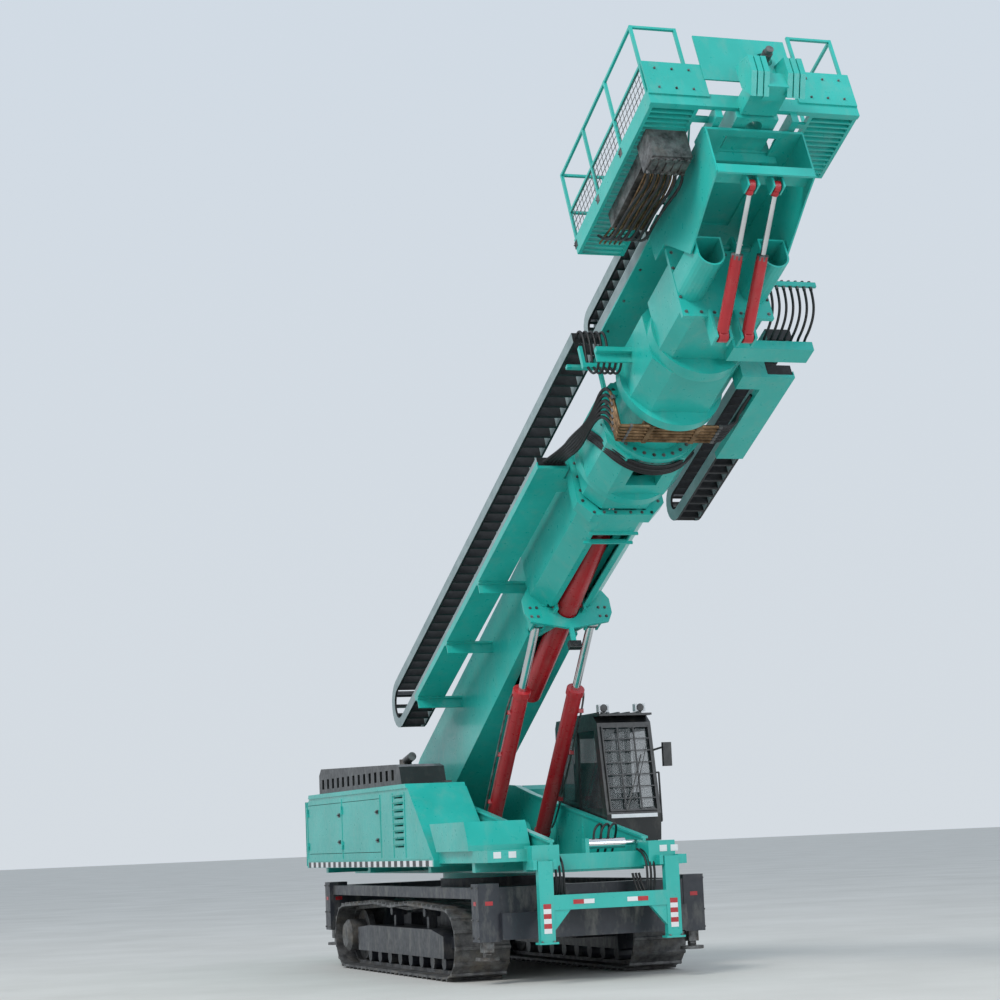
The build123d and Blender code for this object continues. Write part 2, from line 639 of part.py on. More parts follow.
def lift_line(t):
    """Point on the cylinder's line, t millimetres from the foot pin."""
    x, z = EYE_XZ[0] - LIFT_FOOT[0], EYE_XZ[1] - LIFT_FOOT[1]
    n = math.hypot(x, z)
    return LIFT_FOOT[0] + x / n * t, LIFT_FOOT[1] + z / n * t


def lift_barrels():
    """Barrels on the deck's pins."""
    found = []
    for y in (-LIFT_Y, LIFT_Y):
        barrel = rod(lift_point(60, y), lift_point(2770, y), 105)
        eye = many_sided(LIFT_FOOT, 118, 12, y - 106, y + 106)
        hole = disc((LIFT_FOOT[0], y, LIFT_FOOT[1]), "y", LIFT_PIN + 1, 240)
        bore = rod(lift_point(380, y), lift_point(2800, y), LIFT_ROD + SEAT)
        found.append(union([barrel, eye]) - hole - bore)
    return found


def lift_point(t, y):
    x, z = lift_line(t)
    return x, y, z


def lift_rods():
    """Rods with their eyes between the boom's lugs."""
    found = []
    for y in (-LIFT_Y, LIFT_Y):
        bar = rod(lift_point(1000, y), lift_point(LIFT_LEN - 60, y), LIFT_ROD)
        eye = many_sided(EYE_XZ, 110, 12, y - 60, y + 60)
        found.append(union([bar, eye]))
    return found


# Boom, in the boom frame

def collar():
    """Plate round the sleeve's rear end, with the notch for the extension cylinder."""
    half = [(58, 2670), (200, 2700), (542, 2763), (608, 2892), (608, 3100), (480, 3300), (480, 3800), (330, 4030)]
    outline = half + [(-y, u) for y, u in reversed(half)]
    plate = prism(outline, "x", SLEEVE_S0, SLEEVE_S0 + COLLAR_T)
    notch = box(SLEEVE_S0 - 10, SLEEVE_S0 + 60, -165, 165, ext_u(SLEEVE_S0), 3200)
    return plate - notch - rod((SLEEVE_S0 - 10, 0, ext_u(SLEEVE_S0)), (SLEEVE_S0 + 60, 0, ext_u(SLEEVE_S0)), 165)


def cylinder_seats():
    """Lugs for the lift rods' eyes, and cheeks for the extension cylinder's pins."""
    back = SLEEVE_S0 + 5
    parts = []
    for side in (-1, 1):
        parts.append(box(LIFT_EYE[0] - 114, back, side * (LIFT_Y + 66), side * (LIFT_Y + 96), 2790, 3200))
        parts.append(box(LIFT_EYE[0] - 114, back, side * (LIFT_Y - 96), side * (LIFT_Y - 66), 2790, 3100))
        parts.append(prism([(4250, 2945), (back, 2700), (back, 2995)], "y", side * 196, side * 216))
        cheek = box(SLEEVE_S0 + 20, EXT_PIN_S + 70, side * 175, side * 215, EXT_PIN_U - 105, EXT_PIN_U + 85)
        parts.append(cheek - disc((EXT_PIN_S, 0, EXT_PIN_U), "y", EXT_PIN + 0.5, 600))
    return parts


def wear_pads():
    """Pads in the sleeve's head that the inner boom slides on."""
    parts = [box(7130, 7290, -200, 200, INNER_U1 + SEAT, 3960)]
    for side in (-1, 1):
        parts.append(box(7130, 7290, side * 190, side * 265, 3010, INNER_U0 - SEAT))
        parts.append(box(7130, 7290, side * (INNER_Y + SEAT), side * 325, 3300, 3700))
    return parts


def boom_base():
    """Tapered box boom, its foot, and the eight-sided sleeve at its head."""
    foot = FOOT_S - 150
    side = [(foot, FOOT_U - 240), (-900, 2560), (5000, 2990), (5000, 3980), (-900, 3760), (foot, FOOT_U + 260)]
    inner = [
        (-860, 2590), (5100, 3025), (5100, 3956), (-860, 3735),
        (FOOT_S + 280, FOOT_U + 250), (FOOT_S + 280, FOOT_U - 230),
    ]
    tube = prism(side, "y", -350, 350) - prism(inner, "y", -322, 322)
    for y in (-LIFT_Y, LIFT_Y):
        pocket = [(4330, 2700), (4945, 2700), (4945, 3135), (4700, 3135), (4330, 3000)]
        tube = tube - prism(pocket, "y", y - 66, y + 66)
    boss = disc((FOOT_S, 0, FOOT_U), "y", 260, 1080) - disc((FOOT_S, 0, FOOT_U), "y", FOOT_PIN + 1, 1300)
    tube = tube - disc((FOOT_S, 0, FOOT_U), "y", FOOT_PIN + 1, 1300)
    sleeve = prism(eight_sides(SLEEVE_Y, SLEEVE_U0, SLEEVE_U1, 210), "x", SLEEVE_S0, SLEEVE_S1)
    sleeve = sleeve - prism(
        eight_sides(SLEEVE_Y - 25, SLEEVE_U0 + 25, SLEEVE_U1 - 25, 200), "x", SLEEVE_S0 - 10, SLEEVE_S1 + 10
    )
    head = prism(eight_sides(573, SLEEVE_U0, 4080, 180), "x", SLEEVE_S1 - 180, SLEEVE_S1)
    head = head - box(SLEEVE_S1 - 190, SLEEVE_S1 + 10, -318, 318, 3020, 3948)
    ring = collar() - box(SLEEVE_S0 - 10, SLEEVE_S0 + 60, -318, 318, 3050, 3948)
    solid = union([tube, boss, sleeve, head])
    solid = solid - box(2950, 6650, -190, 190, 2500, 3070) - box(6690, 6860, -250, 250, 2900, 3000)
    solid = solid - disc((EXT_PIN_S, 0, EXT_PIN_U), "y", EXT_PIN + 0.5, 600)
    lips = [box(s, s + 25, -330, 330, SLEEVE_U0 - 30, SLEEVE_U0 + 5) for s in (6655, 6870)]
    stem = box(SLEEVE_S0, SLEEVE_S0 + COLLAR_T, -30, 30, 2450, 2680)
    return union([solid, ring, stem, *lips, *cylinder_seats(), *wear_pads()])


def eight_sides(half, low, high, chamfer):
    """Box section with cut corners, as y and z points."""
    return [
        (-half, low + chamfer), (-half + chamfer, low), (half - chamfer, low), (half, low + chamfer),
        (half, high - chamfer), (half - chamfer, high), (-half + chamfer, high), (-half, high - chamfer),
    ]


def chain_tray():
    """Side beam that carries the long drag chain, with its brackets to the boom."""
    top = TRAY_U
    beam = box(1260, TRAY_END, TRAY_Y0, TRAY_Y1, top - 40, top)
    lips = [box(1260, TRAY_END, TRAY_Y0, TRAY_Y0 + 15, top - 40, top + 50)]
    lips += [box(1260, TRAY_END, TRAY_Y1 - 15, TRAY_Y1, top - 40, top + 50)]
    ties = [box(s - 40, s + 40, TRAY_Y0, -350 - SEAT, top - 65, top - 35) for s in (1350, 2950, 4570)]
    ties += [box(s - 8, s + 8, TRAY_Y0, -350 - SEAT, top - 200, top - 40) for s in (1350, 2950, 4570)]
    ties.append(box(6800, 7100, TRAY_Y1 - 10, -SLEEVE_Y - SEAT, top - 40, top))
    return union([beam, *lips, *ties])


def chain_run(s0, s1, y0, y1, u0, u1, pitch):
    """Straight part of a chain: two rows of side plates joined by rungs."""
    count = max(2, round((s1 - s0) / pitch))
    step = (s1 - s0) / count
    gaps = [
        box(s0 + step * i + RUNG / 2, s0 + step * (i + 1) - RUNG / 2, y0 + PLATE_T, y1 - PLATE_T, u0 - 5, u1 + 5)
        for i in range(count)
    ]
    return box(s0, s1, y0, y1, u0, u1) - union(gaps)


def chain_bend(centre, radius, y0, y1):
    """Half-round end of a chain, open towards +s."""
    outer = arc(centre, radius, 270, 90, 10)
    inner = arc(centre, radius - LINK_H, 90, 270, 10)
    plates = [prism(outer + inner, "y", y, y + PLATE_T) for y in (y0, y1 - PLATE_T)]
    rungs = []
    for angle in (126, 162, 198, 234):
        a = math.radians(angle)
        out, across = (math.cos(a), math.sin(a)), (-math.sin(a), math.cos(a))
        corners = [(radius - 4, -RUNG / 2), (radius - 4, RUNG / 2), (radius - LINK_H + 6, RUNG / 2), (radius - LINK_H + 6, -RUNG / 2)]
        points = [(centre[0] + r * out[0] + t * across[0], centre[1] + r * out[1] + t * across[1]) for r, t in corners]
        rungs.append(prism(points, "y", y0 + 5, y1 - 5))
    return union(plates + rungs)


def chain_loop(tip, ends, y0, y1, u0, u1, pitch):
    """Drag chain: lower and upper runs and the half-round loop at the rear tip."""
    radius = (u1 - u0) / 2
    middle = tip + radius
    low_end, high_end = ends
    runs = [
        chain_run(middle - RUNG / 2, low_end, y0, y1, u0, u0 + LINK_H, pitch),
        chain_run(middle - RUNG / 2, high_end, y0, y1, u1 - LINK_H, u1, pitch),
    ]
    return union([chain_bend((middle, (u0 + u1) / 2), radius, y0, y1), *runs])


def head_rings():
    """Outer forms of the boom's round head, from the sleeve to the turning face."""
    rounds = (
        # s0, s1, radius
        (7640, 7760, 630), (8540, 8620, 610), (8620, 9260, NECK_R), (9260, 9380, 640), (HEAD_S - 60, HEAD_S, 560),
    )
    parts = [rod((s0, 0, AXIS_U), (s1, 0, AXIS_U), r) for s0, s1, r in rounds]
    boxes = (
        # s0, s1, half width, low u, high u, corner cut
        (7330, 7650, 500, 3020, 3980, 200), (7750, 8550, 590, 2960, 4040, 220), (9370, HEAD_S - 50, 560, 3050, 4050, 200),
    )
    parts += [prism(eight_sides(half, low, high, cut), "x", s0, s1) for s0, s1, half, low, high, cut in boxes]
    return parts


def side_arms():
    """Hose and chain brackets on both sides of the boom's head."""
    blocks = (
        # s0, s1, y0, y1, u0, u1
        (9190, 9250, -1000, -360, 3760, 3820), (9190, 9250, -1000, -960, 3760, 4060),
        (9620, 9700, -1000, -540, 3670, 3730), (9620, 9640, -1000, -540, 3560, 3680),
        (8750, 8810, -600, -400, 3680, 3740), (8750, 8810, -600, -560, 3680, 4110),
        (8750, 8810, -1000, -560, 4070, 4110),
    )
    return [box(*block) for block in blocks]


def left_tray():
    """Arm and tray for the short chain on the left side."""
    arm = shell_box(9850, 10100, 540, 860, TRAY_C - 40, 3400, 12)
    floor = box(8400, 10100, 850, 1200, TRAY_C - 40, TRAY_C)
    lips = [box(8400, 10100, y, y + 12, TRAY_C - 40, TRAY_C + 50) for y in (850, 1188)]
    return [arm, floor, *lips]


def inner_boom():
    """Sliding boom, its round head with three rings, the side arms and the left chain tray."""
    tube = box(2900, 7450, -INNER_Y, INNER_Y, INNER_U0, INNER_U1)
    solid = union([tube, *head_rings()])
    cuts = [
        box(2800, 7400, -INNER_Y + 22, INNER_Y - 22, INNER_U0 + 22, INNER_U1 - 22),
        box(2800, 7200, -175, 175, 3000, 3200),
        rod((7430, 0, AXIS_U), (HEAD_S - 80, 0, AXIS_U), 400),
        box(7950, 8350, -200, 200, 2900, 3150),
    ]
    solid = solid - union(cuts)
    lugs = [box(7170, 7330, y, y + 25, INNER_U0 + 10, 3400) for y in (-110, 85)]
    return union([solid, *lugs, *side_arms(), *left_tray()])


def pipe_bundle():
    """Oil pipes across the neck of the head, in two clamp blocks."""
    top = AXIS_U - math.sqrt(NECK_R ** 2 - 270 ** 2) - SEAT
    parts = [box(8890, 9245, y, y + 60, 2935, top) for y in (-330, 270)]
    parts += [many_sided((8915 + 60 * i, 2960), 22, 8, -560, 560) for i in range(6)]
    return union(parts)


def hose_tube(y):
    """Horseshoe-shaped tube in front of the head's end plate."""
    lower = arc((y, TUBE_U), TUBE_R, 180, 360, 12)
    outline = lower + [(y + TUBE_R, TUBE_TOP), (y - TUBE_R, TUBE_TOP)]
    inside = arc((y, TUBE_U), TUBE_R - 22, 180, 360, 12) + [(y + TUBE_R - 22, TUBE_TOP - 22), (y - TUBE_R + 22, TUBE_TOP - 22)]
    return prism(outline, "x", PLATE_S - 5, TUBE_END) - prism(inside, "x", PLATE_S + 20, TUBE_END + 10)


def swing_head():
    """Turning head: round base plate, box, end plate, the two large tubes and the tilt ears."""
    face = HEAD_S + SEAT
    parts = [
        rod((face, 0, AXIS_U), (HEAD_S + 100, 0, AXIS_U), 560),
        prism(eight_sides(520, 3150, 4050, 120), "x", HEAD_S + 90, PLATE_S - 40)
        - prism(eight_sides(495, 3175, 4025, 112), "x", HEAD_S + 120, PLATE_S - 60),
        box(PLATE_S - 50, PLATE_S, -552, 552, 3140, 4080),
        hose_tube(-TUBE_Y), hose_tube(TUBE_Y),
        box(10420, 10670, 200, 1200, 3040, 3155), box(PLATE_S - 40, PLATE_S - 5, 540, 1200, 3620, 3680),
    ]
    for y in (-330, 290):
        parts.append(prism([(10850, 4000), (11150, 4000), (11100, 4290), (10900, 4290)], "y", y, y + 40))
    parts.append(disc((TILT_PIN[0], 0, TILT_PIN[1]), "y", TILT_PIN_R, 1176))
    for y in (-TILT_Y, TILT_Y):
        parts.append(box(10990, TILT_FOOT[0] + 60, y - 100, y - 70, TILT_FOOT[1] - 56, 3200))
        parts.append(box(10990, TILT_FOOT[0] + 60, y + 70, y + 100, TILT_FOOT[1] - 56, 3200))
        parts.append(disc((TILT_FOOT[0], y, TILT_FOOT[1]), "y", TILT_FOOT_PIN, 200))
    return union(parts)


def tilt_point(t, y):
    ds, du = TILT_EYE[0] - TILT_FOOT[0], TILT_EYE[1] - TILT_FOOT[1]
    n = math.hypot(ds, du)
    return TILT_FOOT[0] + ds / n * t, y, TILT_FOOT[1] + du / n * t


def tilt_barrels():
    """Barrels on the turning head's pins."""
    found = []
    for y in (-TILT_Y, TILT_Y):
        bore = rod(tilt_point(190, y), tilt_point(1000, y), TILT_ROD + SEAT)
        barrel = rod(tilt_point(55, y), tilt_point(946, y), 66)
        eye = many_sided(TILT_FOOT, 72, 12, y - 55, y + 55)
        hole = disc((TILT_FOOT[0], y, TILT_FOOT[1]), "y", TILT_FOOT_PIN + 1, 130)
        found.append(union([barrel, eye]) - hole - bore)
    return found


def tilt_rods():
    """Rods with their eyes between the cradle's lugs."""
    length = math.hypot(TILT_EYE[0] - TILT_FOOT[0], TILT_EYE[1] - TILT_FOOT[1])
    found = []
    for y in (-TILT_Y, TILT_Y):
        bar = rod(tilt_point(890, y), tilt_point(length - 30, y), TILT_ROD)
        eye = many_sided(TILT_EYE, 60, 12, y - 35, y + 35)
        found.append(union([bar, eye]))
    return found


def cradle():
    """Tilting cradle: two side plates, cross plates, lugs, and the slides of the feed beam."""
    top = FLANGE_U0 - SEAT
    side = [(10850, 4100), (11150, 4100), (11670, 3550), (12390, 3786), (12700, 3868), (12700, top), (10850, top)]
    parts = [prism(side, "y", y, y + 20) for y in (-585, 565)]
    parts.append(box(12680, 12710, -570, 570, 3846, 3960))
    parts.append(box(12290, 12310, -402, 402, top - 120, top))
    table = box(10850, 12700, -585, 585, top - 30, top) - box(11100, 12600, -300, 300, top - 60, top + 10)
    parts.append(table)
    parts.append(box(12440, 12690, -570, 570, TILT_EYE[1] + 120, TILT_EYE[1] + 140))
    for y in (-TILT_Y, TILT_Y):
        for dy in (-70, 50):
            parts.append(box(12490, 12640, y + dy, y + dy + 20, TILT_EYE[1] - 60, TILT_EYE[1] + 130))
    parts += [box(s, s + 250, y, y + 38, top - 20, top + 40) for s in (10900, 12400) for y in (-585, 547)]
    return union(parts) - disc((TILT_PIN[0], 0, TILT_PIN[1]), "y", TILT_PIN_R + 0.5, 1300)


def rod_clamp():
    """Ribbed clamp jaws, the nose that carries them and the guide ring at the mast's tip."""
    core = [(13210, 4610), (13340, 4420), (13480, 4590), (13480, 4780), (13210, 4870)]
    parts = []
    for side in (-1, 1):
        parts.append(prism(core, "y", side * 110, side * 310))
        for y in (105, 180, 255):
            parts.append(prism(CLAMP, "y", side * y, side * (y + 60)))
    parts.append(box(13195, 13420, -115, 115, 4450, 4640))
    parts.append(box(BAR_S + 20, 13215, -TIP_Y + 40, TIP_Y - 40, 4540, 4740))
    neck = box(13190, 13285, -100, 100, 4600, DRILL_U - 95)
    ring = rod((13190, 0, DRILL_U), (13285, 0, DRILL_U), 135)
    bore = rod((13100, 0, DRILL_U), (13400, 0, DRILL_U), 93)
    return [*parts, union([ring, neck]) - bore]


def feed_beam():
    """Drill mast: box beam with wide flanges, its narrow tip, the cross bar and the rod clamp."""
    web = box(BEAM_S0, BEAM_S1, -BEAM_Y, BEAM_Y, FLANGE_U0, BEAM_U1)
    web = web - box(BEAM_S0 + 50, BEAM_S1 - 30, -BEAM_Y + 25, BEAM_Y - 25, BEAM_U0, BEAM_U1 - 30)
    flange = box(BEAM_S0, BEAM_S1, -FLANGE_Y, FLANGE_Y, FLANGE_U0, BEAM_U0)
    rails = [box(8900, BEAM_S1, y - 40, y + 40, BEAM_U1 - 5, RAIL_TOP) for y in (-285, 285)]
    tip = box(BEAM_S1 - 20, BAR_S, -TIP_Y, TIP_Y, BEAM_U0 + 8, BEAM_U1)
    hole = disc((12700, 0, BEAM_U0), "z", 95, 700)
    bar = box(BAR_S - BAR_T / 2, BAR_S + BAR_T / 2, -1240, 1240, BAR_U0, BAR_U1)
    sides = [box(BEAM_S1 - 30, BAR_S, y, y + 80, BEAM_U0 - 5, BAR_U0 + 30) for y in (-490, 410)]
    return union([web, flange, *rails, tip - hole, bar, *sides, *rod_clamp()])


def grating(s0, s1, y0, y1):
    """Walkway of cross bars in a frame."""
    plate = box(s0, s1, y0, y1, FLOOR_U - FLOOR_T, FLOOR_U)
    count = round((s1 - s0 - 40) / GRATE_PITCH)
    pitch = (s1 - s0 - 20) / count
    slots = [
        box(s0 + 20 + pitch * i, s0 + pitch * (i + 1), y0 + 40, y1 - 40, FLOOR_U - FLOOR_T - 5, FLOOR_U + 5)
        for i in range(count)
    ]
    return plate - union(slots)


def front_panels():
    """Sheets across the platform's front, cut round the drill rod."""
    face = BAR_S + BAR_T / 2 + SEAT
    parts = [box(face, face + 18, side * 530, side * 1237, 4742, 5196) for side in (-1, 1)]
    sheet = box(face + 12, face + 30, -545, 545, 4980, 5610)
    return [*parts, sheet - rod((face, 0, DRILL_U), (face + 60, 0, DRILL_U), 90)]


def platform():
    """Work platform on both sides of the mast, with kick plates, ties and front sheets."""
    end = BAR_S - BAR_T / 2 - SEAT
    low = FLOOR_U - FLOOR_T
    parts = []
    for side, s0 in ((-1, 10260), (1, 11800)):
        y0, y1 = sorted((side * 660, side * PLAT_Y))
        parts.append(grating(s0, end, y0, y1))
        parts.append(box(s0, end, side * (PLAT_Y - 6), side * PLAT_Y, FLOOR_U - 5, FLOOR_U + 150))
        parts.append(box(s0, s0 + 6, y0, y1, FLOOR_U - 5, FLOOR_U + 150))
        for s, y in ((11900, BEAM_Y + SEAT), (12600, 490 + SEAT)):
            parts.append(box(s, s + 70, side * y, side * 670, low, low + 40))
        brace = [(11930, side * 480), (11990, side * 480), (12560, side * 665), (12500, side * 665)]
        parts.append(prism(brace, "z", low, low + 30))
    return [union(parts[:6]), union(parts[6:]), union(front_panels())]


RAIL_POSTS = (
    # s, y
    (10285, -1205), (11100, -1205), (11900, -1205), (12790, -1205), (10285, -685), (12790, -685),
    (11825, 1205), (12790, 1205), (12790, 685),
)
RAIL_RUNS = (
    # s0, y0, s1, y1
    (10285, -685, 10285, -1205), (10285, -1205, 12790, -1205), (12790, -1205, 12790, -685),
    (11825, 1205, 12790, 1205), (12790, 1205, 12790, 685),
)


def platform_rails():
    """Handrails of square tube on the platform's outer edges."""
    parts = [box(s - 17, s + 17, y - 17, y + 17, FLOOR_U + SEAT, RAIL_U) for s, y in RAIL_POSTS]
    for s0, y0, s1, y1 in RAIL_RUNS:
        low_s, high_s, low_y, high_y = min(s0, s1), max(s0, s1), min(y0, y1), max(y0, y1)
        for u in (FLOOR_U + 550, RAIL_U):
            parts.append(box(low_s - 15, high_s + 15, low_y - 15, high_y + 15, u - 30, u))
    return [union(parts[:6] + parts[9:15]), union(parts[6:9] + parts[15:])]


def valve_bank():
    """Valve blocks and their box under the right walkway."""
    top = FLOOR_U - FLOOR_T - SEAT
    return union([box(12150, 12450, -1150, -680, 4250, top), box(11000, 12160, -1100, -700, 4420, top)])


def drill_head():
    """Rotary drive on the mast's back."""
    foot = RAIL_TOP + SEAT
    top = foot + CARRIAGE_T
    carriage = box(9300, 10100, -368, 368, foot, top)
    claws = [box(9300, 10100, side * (BEAM_Y + 5), side * 368, BEAM_U1 - 30, top - 5) for side in (-1, 1)]
    gearbox = shell_box(9400, 10000, -250, 250, top - 10, DRILL_U + 240, 25)
    motor = disc((9250, 0, DRILL_U + 60), "x", 130, 320)
    nose = rod((9985, 0, DRILL_U), (CHUCK_S - 5, 0, DRILL_U), NOSE_R)
    nose = nose - rod((10012, 0, DRILL_U), (CHUCK_S + 5, 0, DRILL_U), NECK_ROD + SEAT)
    return union([carriage, *claws, gearbox, motor, nose])


def drill_rod():
    """Chuck and drill rod with its end pin, turning on the drive's axis."""
    chuck = rod((CHUCK_S, 0, DRILL_U), (CHUCK_S + 205, 0, DRILL_U), 95)
    neck = rod((CHUCK_S - 95, 0, DRILL_U), (CHUCK_S + 5, 0, DRILL_U), NECK_ROD)
    steel = rod((CHUCK_S + 195, 0, DRILL_U), (13400, 0, DRILL_U), ROD_R)
    pin = rod((13390, 0, DRILL_U), (13460, 0, DRILL_U), 45)
    return union([chuck, neck, steel, pin])


def ext_u(s):
    """Height of the extension cylinder's line."""
    return EXT_TAIL[1] + (s - EXT_TAIL[0]) * (EXT_EYE[1] - EXT_TAIL[1]) / (EXT_EYE[0] - EXT_TAIL[0])


EXT_PIN_U = ext_u(EXT_PIN_S)


def ext_point(t):
    ds, du = EXT_EYE[0] - EXT_TAIL[0], EXT_EYE[1] - EXT_TAIL[1]
    n = math.hypot(ds, du)
    return EXT_TAIL[0] + ds / n * t, 0, EXT_TAIL[1] + du / n * t


def extend_barrel():
    """Barrel that swings on two pins in the collar's cheeks."""
    barrel = rod(ext_point(180), ext_point(3560), EXT_BARREL)
    pins = [disc((EXT_PIN_S, side * 177.5, EXT_PIN_U), "y", EXT_PIN, 75) for side in (-1, 1)]
    return union([barrel, *pins]) - rod(ext_point(400), ext_point(3600), EXT_ROD + SEAT)


def extend_rod():
    """Rod with its eye between the inner boom's lugs."""
    length = math.hypot(EXT_EYE[0] - EXT_TAIL[0], EXT_EYE[1] - EXT_TAIL[1])
    bar = rod(ext_point(450), ext_point(length - 60), EXT_ROD)
    return union([bar, many_sided(EXT_EYE, 78, 12, -60, 60)])


JACKS = (
    # name, x, y
    ("jack_front_right", JACK_X, -JACK_Y), ("jack_front_left", JACK_X, JACK_Y),
    ("jack_rear_right", -JACK_X, -JACK_Y), ("jack_rear_left", -JACK_X, JACK_Y),
)


def save_carrier():
    """Undercarriage and everything that turns with the deck."""
    save("chassis", chassis())
    save("track_frames", pair(track_frame()))
    save("track_rollers", pair(idler()) + pair(sprocket()))
    save("tracks", pair(track()))
    for name, x, y in JACKS:
        save(name, jack(x, y))
    save("deck", deck())
    save("counterweight", counterweight())
    save("hood", [hood(), toolbox()])
    save("hood_door_rear", hood_door(*DOOR_EDGES[0]))
    save("hood_door_front", hood_door(*DOOR_EDGES[1]))
    save("engine", engine())
    save("engine_cover", engine_cover())
    save("exhaust", exhaust())
    save("tanks", tanks())
    save("cab_shell", cab_shell())
    save("cab_glass", cab_glass())
    save("cab_door", cab_door())
    save("cab_interior", cab_interior())
    save("lamps", lamps())
    save("front_frame", front_frame())
    save("front_cylinder", front_cylinder())
    save("lift_barrels", lift_barrels())
    save("lift_rods", lift_rods())


def save_boom():
    """Boom, head and mast, drawn along the boom's own axis."""
    save("boom_base", boom_base(), boom_frame)
    save("chain_tray", chain_tray(), boom_frame)
    save("extend_barrel", extend_barrel(), boom_frame)
    save("extend_rod", extend_rod(), boom_frame)
    save("drag_chain_lower", chain_loop(90, (7300, 9100), TRAY_Y0 + 20, TRAY_Y1 - 20, TRAY_U + SEAT, 4360, 220), boom_frame)
    save("inner_boom", inner_boom(), boom_frame)
    save("pipe_bundle", pipe_bundle(), boom_frame)
    save("drag_chain_right", chain_loop(6750, (10090, 10300), 866, 1184, TRAY_C + SEAT, 3600, 170), boom_frame)
    save("swing_head", swing_head(), boom_frame)
    save("tilt_barrels", tilt_barrels(), boom_frame)
    save("tilt_rods", tilt_rods(), boom_frame)
    save("cradle", cradle(), boom_frame)
    save("feed_beam", feed_beam(), boom_frame)
    save("platform", platform(), boom_frame)
    save("platform_rails", platform_rails(), boom_frame)
    save("valve_bank", valve_bank(), boom_frame)
    save("drag_chain_upper", chain_loop(8490, (10700, 10900), -540, -380, BEAM_U0 + SEAT, 5000, 200), boom_frame)
    save("drill_head", drill_head(), boom_frame)
    save("drill_rod", drill_rod(), boom_frame)


def main():
    os.makedirs("parts", exist_ok=True)
    save_carrier()
    save_boom()


main()
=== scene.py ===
"""Looks of the crawler slope drilling rig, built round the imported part. Metres, row frame."""
import json
import math

import bmesh
import bpy
from mathutils import Matrix, Vector


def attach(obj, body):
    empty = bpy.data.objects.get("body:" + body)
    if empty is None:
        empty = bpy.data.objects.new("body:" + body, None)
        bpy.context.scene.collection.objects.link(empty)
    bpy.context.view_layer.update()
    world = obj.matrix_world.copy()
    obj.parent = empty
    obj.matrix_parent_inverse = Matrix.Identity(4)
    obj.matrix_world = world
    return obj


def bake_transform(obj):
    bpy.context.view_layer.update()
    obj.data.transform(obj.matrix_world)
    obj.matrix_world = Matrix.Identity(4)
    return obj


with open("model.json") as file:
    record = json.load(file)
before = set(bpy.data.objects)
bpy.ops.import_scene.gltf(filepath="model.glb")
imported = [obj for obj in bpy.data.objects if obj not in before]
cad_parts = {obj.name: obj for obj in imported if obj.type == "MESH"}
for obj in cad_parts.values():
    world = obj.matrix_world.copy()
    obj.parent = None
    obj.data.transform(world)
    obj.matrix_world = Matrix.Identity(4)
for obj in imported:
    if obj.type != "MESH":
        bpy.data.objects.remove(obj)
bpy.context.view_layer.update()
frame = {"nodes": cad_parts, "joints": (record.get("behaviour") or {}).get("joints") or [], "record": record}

SLEW_X = next(j for j in frame["joints"] if j["name"] == "slew")["pos_m"][0]
BOOM_DEG = 24.2

# Camera, fitted to the photograph, seen from the slew axis on the ground
CAM_PLACE = (32.616, -10.998, 1.8)
CAM_YAW_DEG, CAM_PITCH_DEG, CAM_ROLL_DEG = 19.08, 8.03, 2.4
CAM_LENS_MM, CAM_SENSOR_MM = 86.4, 36.0


# Materials

class Nodes:
    """Short names for building one material's node tree."""

    def __init__(self, name):
        self.material = bpy.data.materials.new(name)
        self.material.use_nodes = True
        self.tree = self.material.node_tree
        self.shader = self.tree.nodes["Principled BSDF"]
        self.coords = self.add("ShaderNodeTexCoord").outputs["Object"]

    def add(self, kind, **values):
        node = self.tree.nodes.new(kind)
        for key, value in values.items():
            setattr(node, key, value)
        return node

    def link(self, source, target):
        self.tree.links.new(source, target)

    def noise(self, scale, detail=4.0, rough=0.55, stretch=(1, 1, 1)):
        place = self.add("ShaderNodeMapping")
        place.inputs["Scale"].default_value = stretch
        self.link(self.coords, place.inputs["Vector"])
        node = self.add("ShaderNodeTexNoise")
        node.inputs["Scale"].default_value = scale
        node.inputs["Detail"].default_value = detail
        node.inputs["Roughness"].default_value = rough
        self.link(place.outputs["Vector"], node.inputs["Vector"])
        return node.outputs["Fac"]

    def ramp(self, source, *stops):
        node = self.add("ShaderNodeValToRGB")
        row = node.color_ramp.elements
        while len(row) < len(stops):
            row.new(0.5)
        for element, (place, colour) in zip(row, stops):
            element.position = place
            element.color = (*colour, 1.0)
        self.link(source, node.inputs["Fac"])
        return node.outputs["Color"]

    def mix(self, share, first, second):
        node = self.add("ShaderNodeMix", data_type="RGBA")
        for socket, value in ((node.inputs[0], share), (node.inputs[6], first), (node.inputs[7], second)):
            if isinstance(value, bpy.types.NodeSocket):
                self.link(value, socket)
            else:
                socket.default_value = (*value, 1.0)
        return node.outputs[2]

    def level(self, source, low, high, to_low, to_high):
        node = self.add("ShaderNodeMapRange")
        for key, value in (("From Min", low), ("From Max", high), ("To Min", to_low), ("To Max", to_high)):
            node.inputs[key].default_value = value
        self.link(source, node.inputs["Value"])
        return node.outputs["Result"]

    def colour(self, source):
        self.link(source, self.shader.inputs["Base Color"])

    def rough(self, source):
        self.link(source, self.shader.inputs["Roughness"])

    def bump(self, source, strength, distance):
        node = self.add("ShaderNodeBump")
        node.inputs["Strength"].default_value = strength
        node.inputs["Distance"].default_value = distance
        self.link(source, node.inputs["Height"])
        self.link(node.outputs["Normal"], self.shader.inputs["Normal"])

    def set(self, **values):
        for key, value in values.items():
            self.shader.inputs[key.replace("_", " ")].default_value = value


